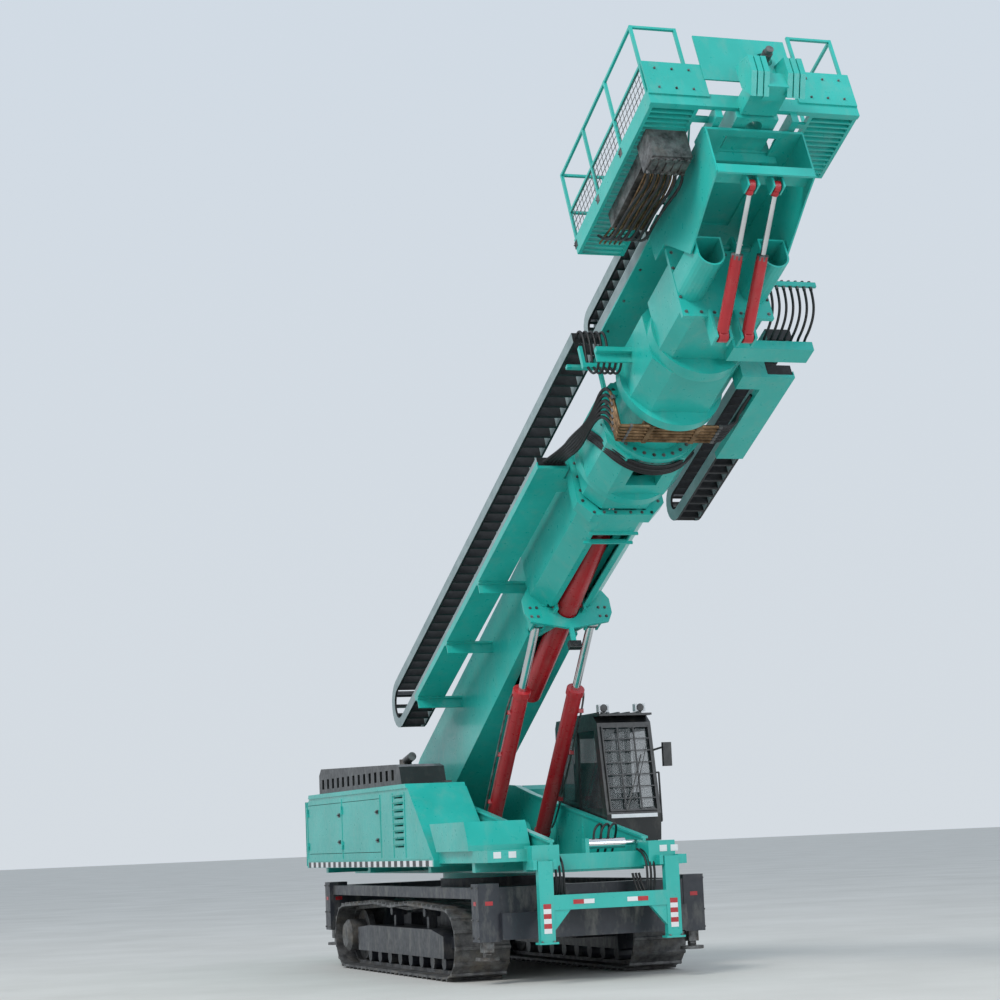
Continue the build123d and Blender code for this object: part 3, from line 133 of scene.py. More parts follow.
def enamel(name, base, faded, dust, gloss, dust_share):
    """Sprayed enamel: slight fading, orange peel, and dust in patches drawn out downwards."""
    n = Nodes(name)
    tone = n.ramp(n.noise(0.9, 5), (0.35, base), (0.7, faded))
    film = n.level(n.noise(6.0, 6, 0.65, (1, 1, 0.35)), 0.5, 0.78, 0.0, dust_share)
    n.colour(n.mix(film, tone, dust))
    n.rough(n.level(n.noise(14.0, 3), 0.3, 0.75, gloss, gloss + 0.2))
    n.bump(n.noise(90.0, 2), 0.12, 0.002)
    n.set(Coat_Weight=0.25, Coat_Roughness=0.12)
    return n.material


def rough_steel(name, dark, light, rust, metal=0.75, rust_share=0.5):
    """Worn steel with rubbed high spots and rust or dust in blotches."""
    n = Nodes(name)
    tone = n.ramp(n.noise(7.0, 6, 0.65), (0.35, dark), (0.72, light))
    patches = n.level(n.noise(2.2, 6, 0.7), 0.5, 0.7, 0.0, rust_share)
    n.colour(n.mix(patches, tone, rust))
    n.rough(n.level(n.noise(20.0, 4), 0.3, 0.7, 0.38, 0.72))
    n.bump(n.noise(60.0, 5, 0.7), 0.3, 0.003)
    n.set(Metallic=metal)
    return n.material


def chrome(name):
    """Ground and plated rod, bright, with a very fine grain."""
    n = Nodes(name)
    n.colour(n.ramp(n.noise(3.0, 3), (0.3, (0.62, 0.63, 0.64)), (0.8, (0.8, 0.81, 0.82))))
    n.rough(n.level(n.noise(40.0, 2), 0.3, 0.7, 0.08, 0.2))
    n.bump(n.noise(400.0, 1), 0.04, 0.0005)
    n.set(Metallic=1.0)
    return n.material


def plastic(name, dark, light, rough):
    """Moulded plastic with a fine grain and pale scuffs."""
    n = Nodes(name)
    n.colour(n.ramp(n.noise(5.0, 6, 0.7), (0.45, dark), (0.8, light)))
    n.rough(n.level(n.noise(30.0, 3), 0.3, 0.7, rough, rough + 0.15))
    n.bump(n.noise(220.0, 2), 0.15, 0.001)
    return n.material


def chain_link(name):
    """Pale side plates and black rungs: faces that look sideways are pale."""
    n = Nodes(name)
    plate = n.ramp(n.noise(4.0, 5, 0.6), (0.3, (0.20, 0.27, 0.28)), (0.75, (0.34, 0.42, 0.43)))
    dark = n.ramp(n.noise(5.0, 6, 0.7), (0.45, (0.008, 0.008, 0.009)), (0.8, (0.035, 0.036, 0.04)))
    split = n.add("ShaderNodeSeparateXYZ")
    n.link(n.add("ShaderNodeNewGeometry").outputs["True Normal"], split.inputs[0])
    side = n.add("ShaderNodeMath", operation="ABSOLUTE")
    n.link(split.outputs["Y"], side.inputs[0])
    n.colour(n.mix(n.level(side.outputs[0], 0.6, 0.9, 0.0, 1.0), dark, plate))
    n.rough(n.level(n.noise(30.0, 3), 0.3, 0.7, 0.42, 0.6))
    n.bump(n.noise(220.0, 2), 0.15, 0.001)
    return n.material


def glass(name):
    """Tinted cab window, half clear, with faint smears."""
    n = Nodes(name)
    n.colour(n.ramp(n.noise(3.0, 4), (0.4, (0.04, 0.055, 0.06)), (0.8, (0.09, 0.11, 0.11))))
    n.rough(n.level(n.noise(8.0, 4), 0.4, 0.7, 0.03, 0.12))
    n.set(Alpha=0.5, IOR=1.45)
    n.material.surface_render_method = "BLENDED"
    return n.material


TEAL = (0.012, 0.40, 0.345)
TEAL_FADED = (0.03, 0.50, 0.44)
BLACK, BLACK_WORN = (0.006, 0.007, 0.008), (0.018, 0.02, 0.022)
STEEL_DARK, STEEL_LIGHT, STEEL_RUST = (0.06, 0.06, 0.06), (0.3, 0.3, 0.3), (0.16, 0.11, 0.07)
TRACK_DARK, TRACK_LIGHT, TRACK_RUST = (0.05, 0.05, 0.052), (0.2, 0.2, 0.2), (0.2, 0.17, 0.13)
VARNISH_DARK, VARNISH_LIGHT, VARNISH_WORN = (0.1, 0.06, 0.03), (0.42, 0.27, 0.15), (0.05, 0.03, 0.02)
DUST = (0.42, 0.40, 0.34)

MATERIALS = {
    "teal_paint": enamel("teal_enamel", TEAL, TEAL_FADED, DUST, 0.26, 0.16),
    "dark_paint": enamel("dark_enamel", (0.012, 0.014, 0.02), (0.03, 0.034, 0.045), DUST, 0.42, 0.3),
    "black_paint": enamel("black_enamel", BLACK, BLACK_WORN, DUST, 0.34, 0.12),
    "red_paint": enamel("red_enamel", (0.36, 0.006, 0.012), (0.52, 0.02, 0.028), DUST, 0.24, 0.08),
    "chrome_rod": chrome("hard_chrome"),
    "bare_steel": rough_steel("bare_steel", STEEL_DARK, STEEL_LIGHT, STEEL_RUST),
    "cast_weight": enamel("teal_casting", TEAL, TEAL_FADED, DUST, 0.4, 0.2),
    "track_steel": rough_steel("track_steel", TRACK_DARK, TRACK_LIGHT, TRACK_RUST, 0.5, 0.65),
    "engine_block": rough_steel("engine_casting", (0.03, 0.03, 0.03), (0.12, 0.12, 0.12), DUST, 0.3, 0.3),
    "chain_plastic": chain_link("chain_plastic"),
    "copper_pipe": rough_steel("varnished_pipe", VARNISH_DARK, VARNISH_LIGHT, VARNISH_WORN, 0.9, 0.3),
    "cab_window": glass("tinted_glass"),
    "seat_fabric": plastic("seat_cloth", (0.02, 0.02, 0.022), (0.06, 0.06, 0.065), 0.8),
    "lamp_lens": plastic("lamp_lens", (0.7, 0.72, 0.74), (0.85, 0.86, 0.88), 0.12),
}


def dress_cad_nodes():
    """Each CAD node takes the material of its slot."""
    slots = {row["node"]: row["material_slot"] for row in frame["record"]["subparts"]}
    for node, obj in frame["nodes"].items():
        obj.data.materials.clear()
        obj.data.materials.append(MATERIALS[slots[node]])


# Pieces. Places are metres: x, y, z from the slew axis, or s, y, u, which is x, y, z turned with the boom.
# Right and left in a piece's name are as in the photograph, where right is +y.

BOOM = Matrix.Translation((SLEW_X, 0, 0)) @ Matrix.Rotation(-math.radians(BOOM_DEG), 4, "Y")
DECK = Matrix.Translation((SLEW_X, 0, 0))
AXIS_U = 3.5                            # the boom's axis
HEAD_FACE_S = 11.10                     # front face of the turning head
NECK_U = 2.96                           # pipes across the neck
ARM_Y, ARM_PITCH = 0.62, 0.085          # first hose of the row at +y, and the row's spacing
RAIL_Y, RAIL_END_S = 1.205, 12.78       # the platform's handrails
WIRE, WIRE_SIDES = 0.004, 6             # radius and sides of one wire of the panels
FRAME_FACE_X, FRAME_MARK_X = 4.399, 4.404   # back and front of the marks on the front frame
CHECK_W, CHECKS = 0.15, 44              # checks of the sill's strip
PLATE_BOLT = 0.014
WASHER_H, BOLT_H = 0.004, 0.018         # top of a bolt's washer and of its head
NUT_SIDES = 6
FORWARD, UPWARD = (1, 0, 0), (0, 0, 1)
RUBBER = plastic("hose_rubber", (0.006, 0.006, 0.007), (0.03, 0.03, 0.032), 0.42)
WHITE = enamel("white_marks", (0.72, 0.73, 0.74), (0.82, 0.83, 0.84), DUST, 0.3, 0.12)


class Group:
    """One piece made of many small forms, drawn on the deck or along the boom."""

    def __init__(self, name, slot, body, place=BOOM, material=None):
        self.name, self.slot, self.body, self.place = name, slot, body, place
        self.material = material or MATERIALS[slot]
        self.mesh = bmesh.new()

    def block(self, low, high, turn=None):
        """Block between two corners, turned about its middle if asked."""
        middle = (Vector(low) + Vector(high)) / 2
        size = [abs(b - a) for a, b in zip(low, high)]
        place = Matrix.Translation(middle) @ (turn or Matrix()) @ Matrix.Diagonal((*size, 1))
        bmesh.ops.create_cube(self.mesh, size=1.0, matrix=place)

    def bar(self, start, end, radius, sides=12, tip=None):
        """Round or many-sided bar between two points."""
        a, b = Vector(start), Vector(end)
        turn = (b - a).to_track_quat("Z", "Y").to_matrix().to_4x4()
        bmesh.ops.create_cone(
            self.mesh, cap_ends=True, segments=sides, radius1=radius, radius2=radius if tip is None else tip,
            depth=(b - a).length, matrix=Matrix.Translation((a + b) / 2) @ turn,
        )

    def bolt(self, place, way, radius=0.016):
        """Washer and six-sided head standing on a face."""
        a, way = Vector(place), Vector(way)
        self.bar(a, a + way * WASHER_H, radius * 1.5, 16)
        self.bar(a + way * WASHER_H, a + way * BOLT_H, radius, NUT_SIDES, radius * 0.92)

    def done(self, bevel):
        """Hand the piece over, with its edges rounded if a bevel is given."""
        data = bpy.data.meshes.new(self.name)
        self.mesh.transform(self.place)
        self.mesh.to_mesh(data)
        self.mesh.free()
        data.materials.append(self.material)
        obj = bpy.data.objects.new(self.name, data)
        bpy.context.scene.collection.objects.link(obj)
        if bevel:
            edge = obj.modifiers.new("edges", "BEVEL")
            edge.width, edge.segments, edge.limit_method = bevel, 2, "ANGLE"
        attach(obj, self.body)


def as_mesh(obj):
    """The same piece as a mesh, under the same name."""
    bpy.context.view_layer.update()
    mesh = bpy.data.meshes.new_from_object(obj.evaluated_get(bpy.context.evaluated_depsgraph_get()))
    name = obj.name
    bpy.data.objects.remove(obj)
    found = bpy.data.objects.new(name, mesh)
    bpy.context.scene.collection.objects.link(found)
    return found


def pipes(name, lines, radius, slot, body, place=BOOM, material=None, bend=None):
    """Hoses or pipes, smooth curves led by their points. Given a bend, they are made a mesh with their place
    baked in and attached to no body; what the bend holds (a second body, a start and an end) is not read.
    """
    data = bpy.data.curves.new(name, "CURVE")
    data.dimensions = "3D"
    data.bevel_depth = radius
    data.bevel_resolution = 2
    data.resolution_u = 6
    data.use_fill_caps = True
    for line in lines:
        spline = data.splines.new("NURBS")
        spline.points.add(len(line) - 1)
        for point, at in zip(spline.points, line):
            point.co = (*(place @ Vector(at)), 1.0)
        spline.order_u = 3
        spline.use_endpoint_u = True
    data.materials.append(material or MATERIALS[slot])
    obj = bpy.data.objects.new(name, data)
    bpy.context.scene.collection.objects.link(obj)
    if bend:
        obj = as_mesh(obj)
        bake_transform(obj)
    else:
        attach(obj, body)


def ring_bolts(group, s, radius, count, way=1.0):
    """Bolts round the boom's axis on a flange's face."""
    for i in range(count):
        a = 2 * math.pi * (i + 0.5) / count
        group.bolt((s, radius * math.cos(a), AXIS_U + radius * math.sin(a)), (way, 0, 0))


def head_bolts():
    """Bolt circles on the flanges of the boom's head, and rows on the turning head's face."""
    rings = Group("head_bolts", "bare_steel", "inner_boom")
    ring_bolts(rings, 8.62, 0.55, 28)
    ring_bolts(rings, 9.26, 0.555, 32, -1.0)
    ring_bolts(rings, 8.54, 0.60, 28, -1.0)
    rings.done(0.0)
    rows = Group("turning_bolts", "bare_steel", "head")
    places = [(y, u) for y in (-0.50, -0.32, -0.16, 0.16, 0.32, 0.50) for u in (3.20, 4.02)]
    places += [(y, u) for y in (-0.525, 0.525) for u in (3.4, 3.6, 3.8)]
    for y, u in places:
        rows.bolt((HEAD_FACE_S, y, u), FORWARD, PLATE_BOLT)
    rows.done(0.0)


def neck_pipes():
    """Bends, hoses and unions at both ends of the six pipes across the neck."""
    bends, hoses, unions = [], [], Group("pipe_unions", "bare_steel", "inner_boom")
    for i in range(6):
        s = 8.915 + 0.06 * i
        side, rise = -0.64 - 0.012 * i, 3.10 + 0.05 * i
        top = (s - 0.05, side, rise + 0.12)
        bends.append([(s, -0.55, NECK_U), (s, side, NECK_U), (s, side, 2.97), (s, side, rise), top])
        hoses.append([
            top, (s - 0.12, side - 0.02, rise + 0.3), (8.55, -0.70 - 0.01 * i, 3.48),
            (8.0, -0.70 - 0.02 * i, 3.45 + 0.03 * i), (7.62, -0.74, 3.56 + 0.03 * i),
            (7.32, -0.66 - 0.05 * i, 3.70),
        ])
        hoses.append([
            (s, 0.555, NECK_U), (s, 0.66, NECK_U), (s + 0.02, 0.74 + 0.01 * i, 3.02), (s + 0.1, 0.78, 3.09),
            (9.4 + 0.05 * i, 0.83, 3.12),
        ])
        unions.bar((s, -0.575, NECK_U), (s, -0.545, NECK_U), 0.03, NUT_SIDES)
        unions.bar((s, 0.545, NECK_U), (s, 0.59, NECK_U), 0.03, NUT_SIDES)
        unions.bar((s, side, rise - 0.02), (s, side, rise + 0.03), 0.03, NUT_SIDES)
    unions.done(0.002)
    pipes("neck_bends", bends, 0.019, "copper_pipe", "inner_boom")
    pipes("neck_hoses", hoses, 0.021, "chain_plastic", "inner_boom", material=RUBBER)


def flange_bundle():
    """Thick bundle of hoses round the underside of the lower flange."""
    lines = []
    for i in range(7):
        radius = 0.645 + 0.022 * (i % 2)
        s = 8.40 + 0.034 * (i // 2) - 0.017 * (i % 2)
        row = []
        for deg in (-150, -130, -110, -90, -70, -50, -36):
            a = math.radians(deg)
            row.append((s, radius * math.cos(a), AXIS_U + radius * math.sin(a)))
        start_y = row[0][1] - 0.05
        lines.append([(s - 0.35, start_y, 3.62), (s - 0.15, start_y, 3.4)] + row)
    pipes("flange_hoses", lines, 0.018, "chain_plastic", "inner_boom", material=RUBBER)


def arm_hoses():
    """Hoses from the side arms and the chains' ends. The row at +y ends on the turning head; it is made one
    mesh with its place baked in, attached to no body.
    """
    right, left, top = [], [], []
    for i in range(7):
        y = ARM_Y + ARM_PITCH * i
        right.append([
            (10.55, y, 3.14), (10.62, y, 3.2), (10.8, y, 3.22), (10.98, y, 3.3), (11.07, y, 3.45),
            (11.075, y, 3.62),
        ])
    for i in range(5):
        y = -0.66 - 0.07 * i
        left.append([(9.10, y, 4.29), (9.2, y, 4.33), (9.3, y, 4.2), (9.28, y, 4.0), (9.24, y, 3.83)])
        left.append([(9.24, y, 3.76), (9.3, y, 3.62), (9.45, y, 3.55), (9.58, y, 3.62), (9.63, y, 3.67)])
        y = -0.4 - 0.03 * i
        top.append([
            (10.88, y, 4.93), (11.0, y, 4.95), (11.12, -0.42, 4.85), (11.2, -0.45, 4.7),
            (11.3, -0.5 - 0.02 * i, 4.56),
        ])
    bend = ("head", (10.56, 0, AXIS_U), (11.05, 0, AXIS_U))
    pipes("right_arm_hoses", right, 0.016, "chain_plastic", "inner_boom", material=RUBBER, bend=bend)
    pipes("left_arm_hoses", left, 0.016, "chain_plastic", "inner_boom", material=RUBBER)
    pipes("mast_hoses", top, 0.014, "chain_plastic", "mast", material=RUBBER)
    ends = Group("hose_fittings", "bare_steel", "head")
    starts = Group("chain_fittings", "bare_steel", "inner_boom")
    for i in range(7):
        y = ARM_Y + ARM_PITCH * i
        ends.bar((11.075, y, 3.58), (11.075, y, 3.70), 0.022, NUT_SIDES)
        starts.bar((10.5, y, 3.14), (10.56, y, 3.14), 0.022, NUT_SIDES)
    ends.done(0.002)
    starts.done(0.002)


def valve_pipes():
    """Bent pipes and hoses under the walkway at -y."""
    bent, hoses, nuts = [], [], Group("valve_nuts", "bare_steel", "mast")
    for i in range(12):
        y, s = -1.06 + 0.03 * i, 12.10 - 0.01 * i
        bent.append([
            (s, y, 4.43), (12.08, y, 4.36), (11.9, y, 4.34 - 0.006 * i), (11.3, y, 4.34), (11.02, y, 4.36),
            (11.0, y, 4.44),
        ])
        nuts.bar((s, y, 4.40), (s, y, 4.43), 0.018, NUT_SIDES)
    for i in range(6):
        y = -1.12 + 0.08 * i
        hoses.append([
            (12.2, y, 4.26), (12.2, y, 4.18), (12.05, y, 4.14), (11.7, y - 0.01, 4.2), (11.3, y, 4.26),
            (10.95, y + 0.02, 4.3), (10.7, y + 0.04, 4.5), (10.6, y + 0.04, 4.63),
        ])
        nuts.bar((12.2, y, 4.20), (12.2, y, 4.26), 0.024, NUT_SIDES)
        nuts.bar((12.4, y, 4.22), (12.4, y, 4.26), 0.03, NUT_SIDES)
    for i in range(5):
        nuts.block((12.17, -1.13 + 0.09 * i, 4.235), (12.43, -1.06 + 0.09 * i, 4.255))
    nuts.done(0.002)
    pipes("valve_bends", bent, 0.011, "copper_pipe", "mast")
    pipes("valve_hoses", hoses, 0.017, "chain_plastic", "mast", material=RUBBER)
    front = []
    for y in (-1.04, -0.98, -0.92, -0.86, -0.8):
        front.append([(11.0, y, 4.50), (10.9, y, 4.52), (10.7, y, 4.56), (10.5, y, 4.6)])
    pipes("walkway_pipes", front, 0.012, "copper_pipe", "mast")


def platform_mesh():
    """Wire panels in the platform's handrails, and the rails' bolted feet."""
    group = Group("rail_mesh", "bare_steel", "mast")
    for y, s0 in ((-RAIL_Y, 10.30), (RAIL_Y, 11.84)):
        count = int((RAIL_END_S - s0) / 0.09)
        for i in range(count + 1):
            s = s0 + (RAIL_END_S - s0) * i / count
            group.bar((s, y, 4.83), (s, y, 5.21), WIRE, WIRE_SIDES)
        for k in range(5):
            u = 4.86 + 0.085 * k
            group.bar((s0, y, u), (RAIL_END_S, y, u), WIRE, WIRE_SIDES)
    group.done(0.0)
    posts = Group("rail_feet", "bare_steel", "mast")
    feet = [(s, -RAIL_Y) for s in (10.285, 11.1, 11.9)] + [(s, RAIL_Y) for s in (11.825, 12.3)]
    for s, y in feet:
        posts.block((s - 0.04, y - 0.028, 4.70), (s + 0.04, y + 0.028, 4.79))
        posts.bolt((s - 0.025, y - 0.028, 4.745), (0, -1, 0), 0.008)
    posts.done(0.001)


def tilt_collars():
    """Red rod ends and gland nuts of the tilt cylinders."""
    foot, eye = Vector((11.1, 0, 2.876)), Vector((12.56, 0, 3.806))
    way = (eye - foot).normalized()
    reach = (eye - foot).length
    half_width = Vector((0, 0.0355, 0))
    ends = Group("tilt_rod_ends", "red_paint", "tilt_rods")
    glands = Group("tilt_glands", "bare_steel", "tilt_barrels")
    for y in (-0.15, 0.15):
        side = Vector((0, y, 0))
        ends.bar(foot + side + way * (reach - 0.09), foot + side + way * (reach - 0.05), 0.046, 20)
        ends.bar(foot + side + way * (reach - 0.107), foot + side + way * (reach - 0.09), 0.036, 20, 0.046)
        ends.bar(eye + side - half_width, eye + side + half_width, 0.0625, 24)
        glands.bar(foot + side + way * 0.90, foot + side + way * 0.955, 0.070, 8)
    ends.done(0.004)
    glands.done(0.004)


def lift_glands():
    """Gland rings of the lift cylinders, and their feed pipes with clips."""
    foot = Vector((0.72, 0, 1.62))
    eye = (DECK.inverted() @ BOOM) @ Vector((4.814, 0, 2.887))
    way = (eye - foot).normalized()
    group = Group("lift_glands", "red_paint", "lift_barrels", DECK)
    lines = []
    for y in (-0.381, 0.381):
        side = Vector((0, y, 0))
        group.bar(foot + side + way * 2.68, foot + side + way * 2.775, 0.122, 32)
        group.bar(foot + side + way * 0.30, foot + side + way * 0.36, 0.116, 32)
        edge = math.copysign(0.125, y)
        wall = foot + side + Vector((0, edge, 0))
        off = Vector((0, edge * 0.3, 0))
        lines.append([
            wall + way * 0.4, wall + way * 0.45 + off, wall + way * 1.5 + off, wall + way * 2.6 + off,
            wall + way * 2.7,
        ])
        for k in (0.9, 1.7, 2.4):
            clip = wall + way * k
            group.block(clip - Vector((0.03, 0.02, 0.03)), clip + Vector((0.03, 0.055, 0.03)))
    group.done(0.004)
    pipes("lift_pipes", lines, 0.014, "bare_steel", "lift_barrels", DECK)


def hood_louvres():
    """Louvre blades, seams and the sill line of the engine cabinet."""
    blades = Group("hood_louvres", "teal_paint", "upper", DECK)
    tilt = Matrix.Rotation(math.radians(-38), 4, "X")
    for i in range(8):
        z = 1.77 + 0.096 * i
        blades.block((0.27, -1.60, z), (0.71, -1.553, z + 0.006), tilt)
    blades.block((-4.62, -1.566, 1.572), (1.9, -1.556, 1.60))
    for x in (-4.62, -2.53, -0.43, 0.2, 0.78):
        blades.block((x - 0.012, -1.568, 1.6), (x + 0.012, -1.556, 2.49))
    blades.done(0.002)


def hood_handles():
    """Two latch handles on each cabinet door."""
    doors = (("rear_door_handles", "door_rear", -2.68), ("front_door_handles", "door_front", -0.58))
    for name, body, x in doors:
        group = Group(name, "black_paint", body, DECK)
        for z in (1.85, 2.25):
            group.block((x - 0.055, -1.572, z - 0.03), (x + 0.055, -1.561, z + 0.03))
            group.block((x - 0.035, -1.592, z - 0.010), (x + 0.035, -1.570, z + 0.012))
        group.done(0.003)


def sill_strip():
    """White and black checks along the cabinet's sill, at -y."""
    white = Group("sill_white", "lamp_lens", "upper", DECK, WHITE)
    black = Group("sill_black", "black_paint", "upper", DECK)
    for i in range(CHECKS):
        x = -4.6 + CHECK_W * i
        group = white if i % 2 else black
        group.block((x, -1.566, 1.475), (x + CHECK_W, -1.5595, 1.555))
    white.done(0.0)
    black.done(0.0)


def front_marks():
    """Red and white reflectors on the front frame, and the bolts of its foot plates."""
    red = Group("front_red", "red_paint", "front_frame", DECK)
    white = Group("front_white", "lamp_lens", "front_frame", DECK, WHITE)
    for y in (-0.845, 0.845):
        for k in range(6):
            group = red if k % 2 else white
            group.block((FRAME_FACE_X, y - 0.05, 0.62 + 0.06 * k), (FRAME_MARK_X, y + 0.05, 0.68 + 0.06 * k))
    for side in (-1, 1):
        red.block((FRAME_FACE_X, side * 0.36, 0.965), (FRAME_MARK_X, side * 0.50, 1.02))
        white.block((FRAME_FACE_X, side * 0.22, 0.965), (FRAME_MARK_X, side * 0.36, 1.02))
    red.done(0.0)
    white.done(0.0)
    feet = Group("front_feet_bolts", "bare_steel", "front_frame", DECK)
    for y in (-0.93, -0.77, 0.77, 0.93):
        feet.bolt((4.285, y, 0.515), UPWARD, PLATE_BOLT)
        feet.bolt((4.415, y, 0.515), UPWARD, PLATE_BOLT)
    feet.done(0.0)


def front_hoses():
    """Hoses behind the front frame and over the cross cylinder, and white marks on the deck's front edge."""
    hoses = []
    for side in (-1, 1):
        for k in range(3):
            y = side * (0.66 - 0.05 * k)
            hoses.append([
                (3.96, y, 1.60), (4.1, y, 1.58), (4.26, y, 1.45), (4.27, y, 1.15),
                (4.2, y * 0.96, 0.98 - 0.03 * k), (4.02, y * 0.9, 1.1), (3.96, y * 0.86, 1.30),
            ])
    for k in range(3):
        step = 0.1 * k
        hoses.append([
            (3.85, 0.02 + step, 1.755), (3.85, 0.02 + step, 1.86), (3.83, 0.12 + step, 1.95),
            (3.7, 0.2 + step, 1.9), (3.55, 0.22 + step, 1.72), (3.45, 0.2 + step, 1.52),
        ])
    pipes("front_hoses", hoses, 0.016, "chain_plastic", "upper", DECK, RUBBER)
    marks = Group("deck_marks", "lamp_lens", "upper", DECK, WHITE)
    for y, x0, x1 in ((-1.40, 4.045, 4.054), (-1.2, 4.045, 4.054), (0.75, 4.249, 4.254), (0.9, 4.249, 4.254)):
        marks.block((x0, y, 1.56), (x1, y + 0.10, 1.64))
    marks.done(0.002)


def jack_details():
    """Reflectors and bolts of the four jacks' housings, and bolts on the chassis side."""
    marks = Group("jack_reflectors", "red_paint", "undercarriage", DECK)
    bolts = Group("housing_bolts", "bare_steel", "undercarriage", DECK)
    for x in (-3.63, 3.63):
        for y in (-1.39, 1.39):
            out, proud = math.copysign(0.14, y), math.copysign(0.004, y)
            marks.block((x - 0.05, y + out - 0.002, 0.98), (x + 0.05, y + out + proud, 1.03))
            marks.block((x + 0.139, y - 0.05, 0.98), (x + 0.144, y + 0.05, 1.03))
            for dx in (-0.11, 0.11):
                for z in (0.58, 0.80, 1.20):
                    bolts.bolt((x + dx, y + out, z), (0, math.copysign(1, y), 0), 0.012)
    for x in (-1.25, 1.25):
        for dx in (-0.2, -0.07, 0.07, 0.2):
            bolts.bolt((x + dx, -0.821, 1.05), (0, -1, 0), 0.016)
    marks.done(0.0)
    bolts.done(0.0)


def cab_details():
    """Rims and feet of the roof lamps, wiper, grab rail, and a strip low on the cab's side at the boom."""
    group = Group("cab_trim", "black_paint", "upper", DECK)
    for y in (0.85, 1.38):
        group.bar((2.285, y, 3.49), (2.302, y, 3.49), 0.055, 24, 0.048)
        group.block((2.20, y - 0.02, 3.39), (2.28, y + 0.02, 3.45))
    group.bar((2.60, 1.00, 2.10), (2.43, 1.30, 2.85), 0.008, 8)
    group.bar((2.585, 1.10, 2.2), (2.40, 1.42, 3.05), 0.005, 8)
    low, high = (2.50, 1.53, 1.95), (2.47, 1.53, 2.6)
    group.bar(low, high, 0.014, 12)
    for x, _, z in (low, high):
        group.bar((x, 1.50, z), (x, 1.535, z), 0.012, 12)
    group.block((0.9, 0.705, 1.75), (2.3, 0.719, 1.80))
    group.done(0.002)


def collar_light():
    """Dark work light on the stem under the collar, and bolts of the collar and the sleeve's end."""
    group = Group("collar_light", "black_paint", "boom")
    group.block((4.925, -0.085, 2.37), (5.015, 0.085, 2.47))
    group.bar((5.015, 0.0, 2.42), (5.028, 0.0, 2.42), 0.04, 24, 0.036)
    group.done(0.006)
    bolts = Group("collar_bolts", "bare_steel", "boom")
    for y in (-0.52, -0.43, 0.43, 0.52):
        for u in (2.84, 2.97):
            bolts.bolt((4.99, y, u), FORWARD, PLATE_BOLT)
    for side in (-1, 1):
        for u in (3.15, 3.3, 3.5, 3.7, 3.9):
            bolts.bolt((7.30, side * 0.5, u), FORWARD, PLATE_BOLT)
        for y in (0.1, 0.25, 0.38):
            bolts.bolt((7.30, side * y, 2.985), FORWARD, PLATE_BOLT)
    bolts.done(0.0)


def clamp_details():
    """Bolts of the rod clamp, the platform's front plates and the mast's flanges."""
    group = Group("clamp_bolts", "bare_steel", "mast")
    for y in (-0.21, -0.165, 0.165, 0.21):
        group.bolt((13.30, y, 4.84), UPWARD, 0.012)
    for y in (-1.1, -0.9, -0.7, 0.7, 0.9, 1.1):
        group.bolt((12.888, y, 5.10), FORWARD, 0.010)
        group.bolt((12.888, y, 4.83), FORWARD, 0.010)
    for s in (9.0, 9.6, 10.2, 10.8, 11.4, 12.0):
        for y in (-0.46, 0.46):
            group.bolt((s, y, 4.48), (0, 0, -1), 0.012)
    group.done(0.0)


def add_pieces():
    """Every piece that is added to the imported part."""
    head_bolts()
    neck_pipes()
    flange_bundle()
    arm_hoses()
    valve_pipes()
    platform_mesh()
    tilt_collars()
    lift_glands()
    hood_louvres()
    hood_handles()
    sill_strip()
    front_marks()
    front_hoses()
    jack_details()
    cab_details()
    collar_light()
    clamp_details()


# Stage, light and camera

def pale_floor():
    """Wide pale ground with faint mottling."""
    n = Nodes("pale_floor")
    n.colour(n.ramp(n.noise(0.35, 6, 0.6), (0.3, (0.56, 0.55, 0.52)), (0.75, (0.66, 0.65, 0.62))))
    n.rough(n.level(n.noise(2.0, 4), 0.3, 0.7, 0.75, 0.9))
    n.set(Specular_IOR_Level=0.2)
    half = 400.0
    mesh = bpy.data.meshes.new("stage_floor")
    corners = [(-half, -half, 0), (half, -half, 0), (half, half, 0), (-half, half, 0)]
    mesh.from_pydata(corners, [], [(0, 1, 2, 3)])
    mesh.materials.append(n.material)
    floor = bpy.data.objects.new("stage_floor", mesh)
    bpy.context.scene.collection.objects.link(floor)


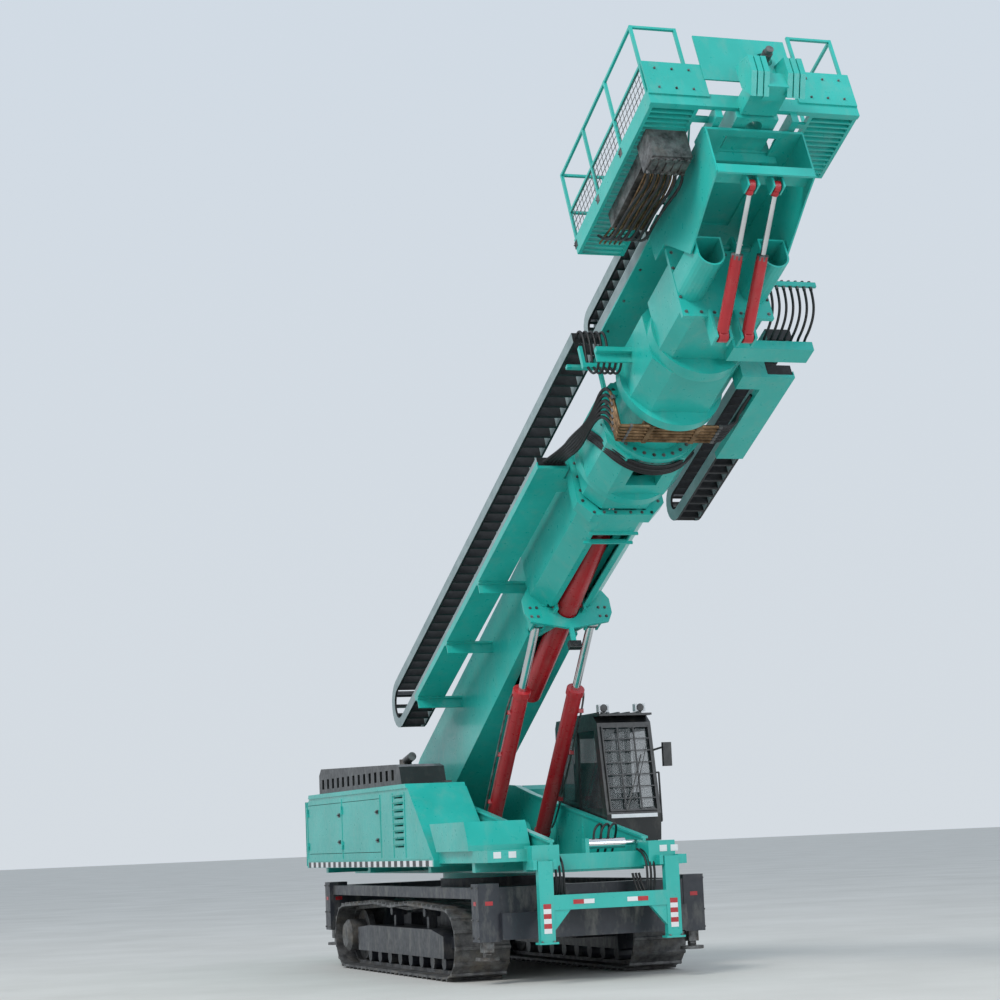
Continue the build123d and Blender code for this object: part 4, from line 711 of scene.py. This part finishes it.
def sky():
    """Pale even world, a little bluer overhead."""
    world = bpy.data.worlds.new("studio")
    bpy.context.scene.world = world
    world.use_nodes = True
    tree = world.node_tree
    back = tree.nodes["Background"]
    coords = tree.nodes.new("ShaderNodeTexCoord")
    split = tree.nodes.new("ShaderNodeSeparateXYZ")
    ramp = tree.nodes.new("ShaderNodeValToRGB")
    tree.links.new(coords.outputs["Generated"], split.inputs[0])
    tree.links.new(split.outputs["Z"], ramp.inputs["Fac"])
    tree.links.new(ramp.outputs["Color"], back.inputs["Color"])
    row = ramp.color_ramp.elements
    row[0].position, row[0].color = 0.0, (0.70, 0.75, 0.80, 1)
    row[1].position, row[1].color = 0.5, (0.66, 0.74, 0.83, 1)
    back.inputs["Strength"].default_value = 0.95


def lamp(name, place, target, size, watts, colour):
    """Round area light that looks at a point."""
    data = bpy.data.lights.new(name, "AREA")
    data.shape = "DISK"
    data.size = size
    data.energy = watts
    data.color = colour
    obj = bpy.data.objects.new(name, data)
    obj.location = place
    obj.rotation_mode = "QUATERNION"
    obj.rotation_quaternion = (Vector(target) - Vector(place)).to_track_quat("-Z", "Y")
    bpy.context.scene.collection.objects.link(obj)


def lights():
    """High key light from the -y side and a weaker cool fill from ahead."""
    lamp("key", (18, -26, 34), (0, 0, 4), 16, 9000, (1.0, 0.98, 0.94))
    lamp("fill", (34, 12, 12), (2, 0, 4), 18, 2200, (0.92, 0.96, 1.0))


def camera():
    """The photograph's view: right and down are the picture's own directions, turned by its roll."""
    yaw, pitch, roll = (math.radians(v) for v in (CAM_YAW_DEG, CAM_PITCH_DEG, CAM_ROLL_DEG))
    ahead = Vector((-math.cos(yaw) * math.cos(pitch), math.sin(yaw) * math.cos(pitch), math.sin(pitch)))
    level_right = ahead.cross(Vector((0, 0, 1))).normalized()
    level_down = ahead.cross(level_right)
    right = level_right * math.cos(roll) + level_down * math.sin(roll)
    down = level_down * math.cos(roll) - level_right * math.sin(roll)
    data = bpy.data.cameras.new("view")
    data.sensor_width = CAM_SENSOR_MM
    data.lens = CAM_LENS_MM
    data.clip_end = 1500.0
    obj = bpy.data.objects.new("view", data)
    turn = Matrix((right, -down, -ahead)).transposed()
    obj.matrix_world = Matrix.Translation(Vector(CAM_PLACE) + Vector((SLEW_X, 0, 0))) @ turn.to_4x4()
    bpy.context.scene.collection.objects.link(obj)
    bpy.context.scene.camera = obj


camera()
pale_floor()
sky()
lights()
bpy.context.scene.view_settings.view_transform = "Standard"
dress_cad_nodes()
add_pieces()
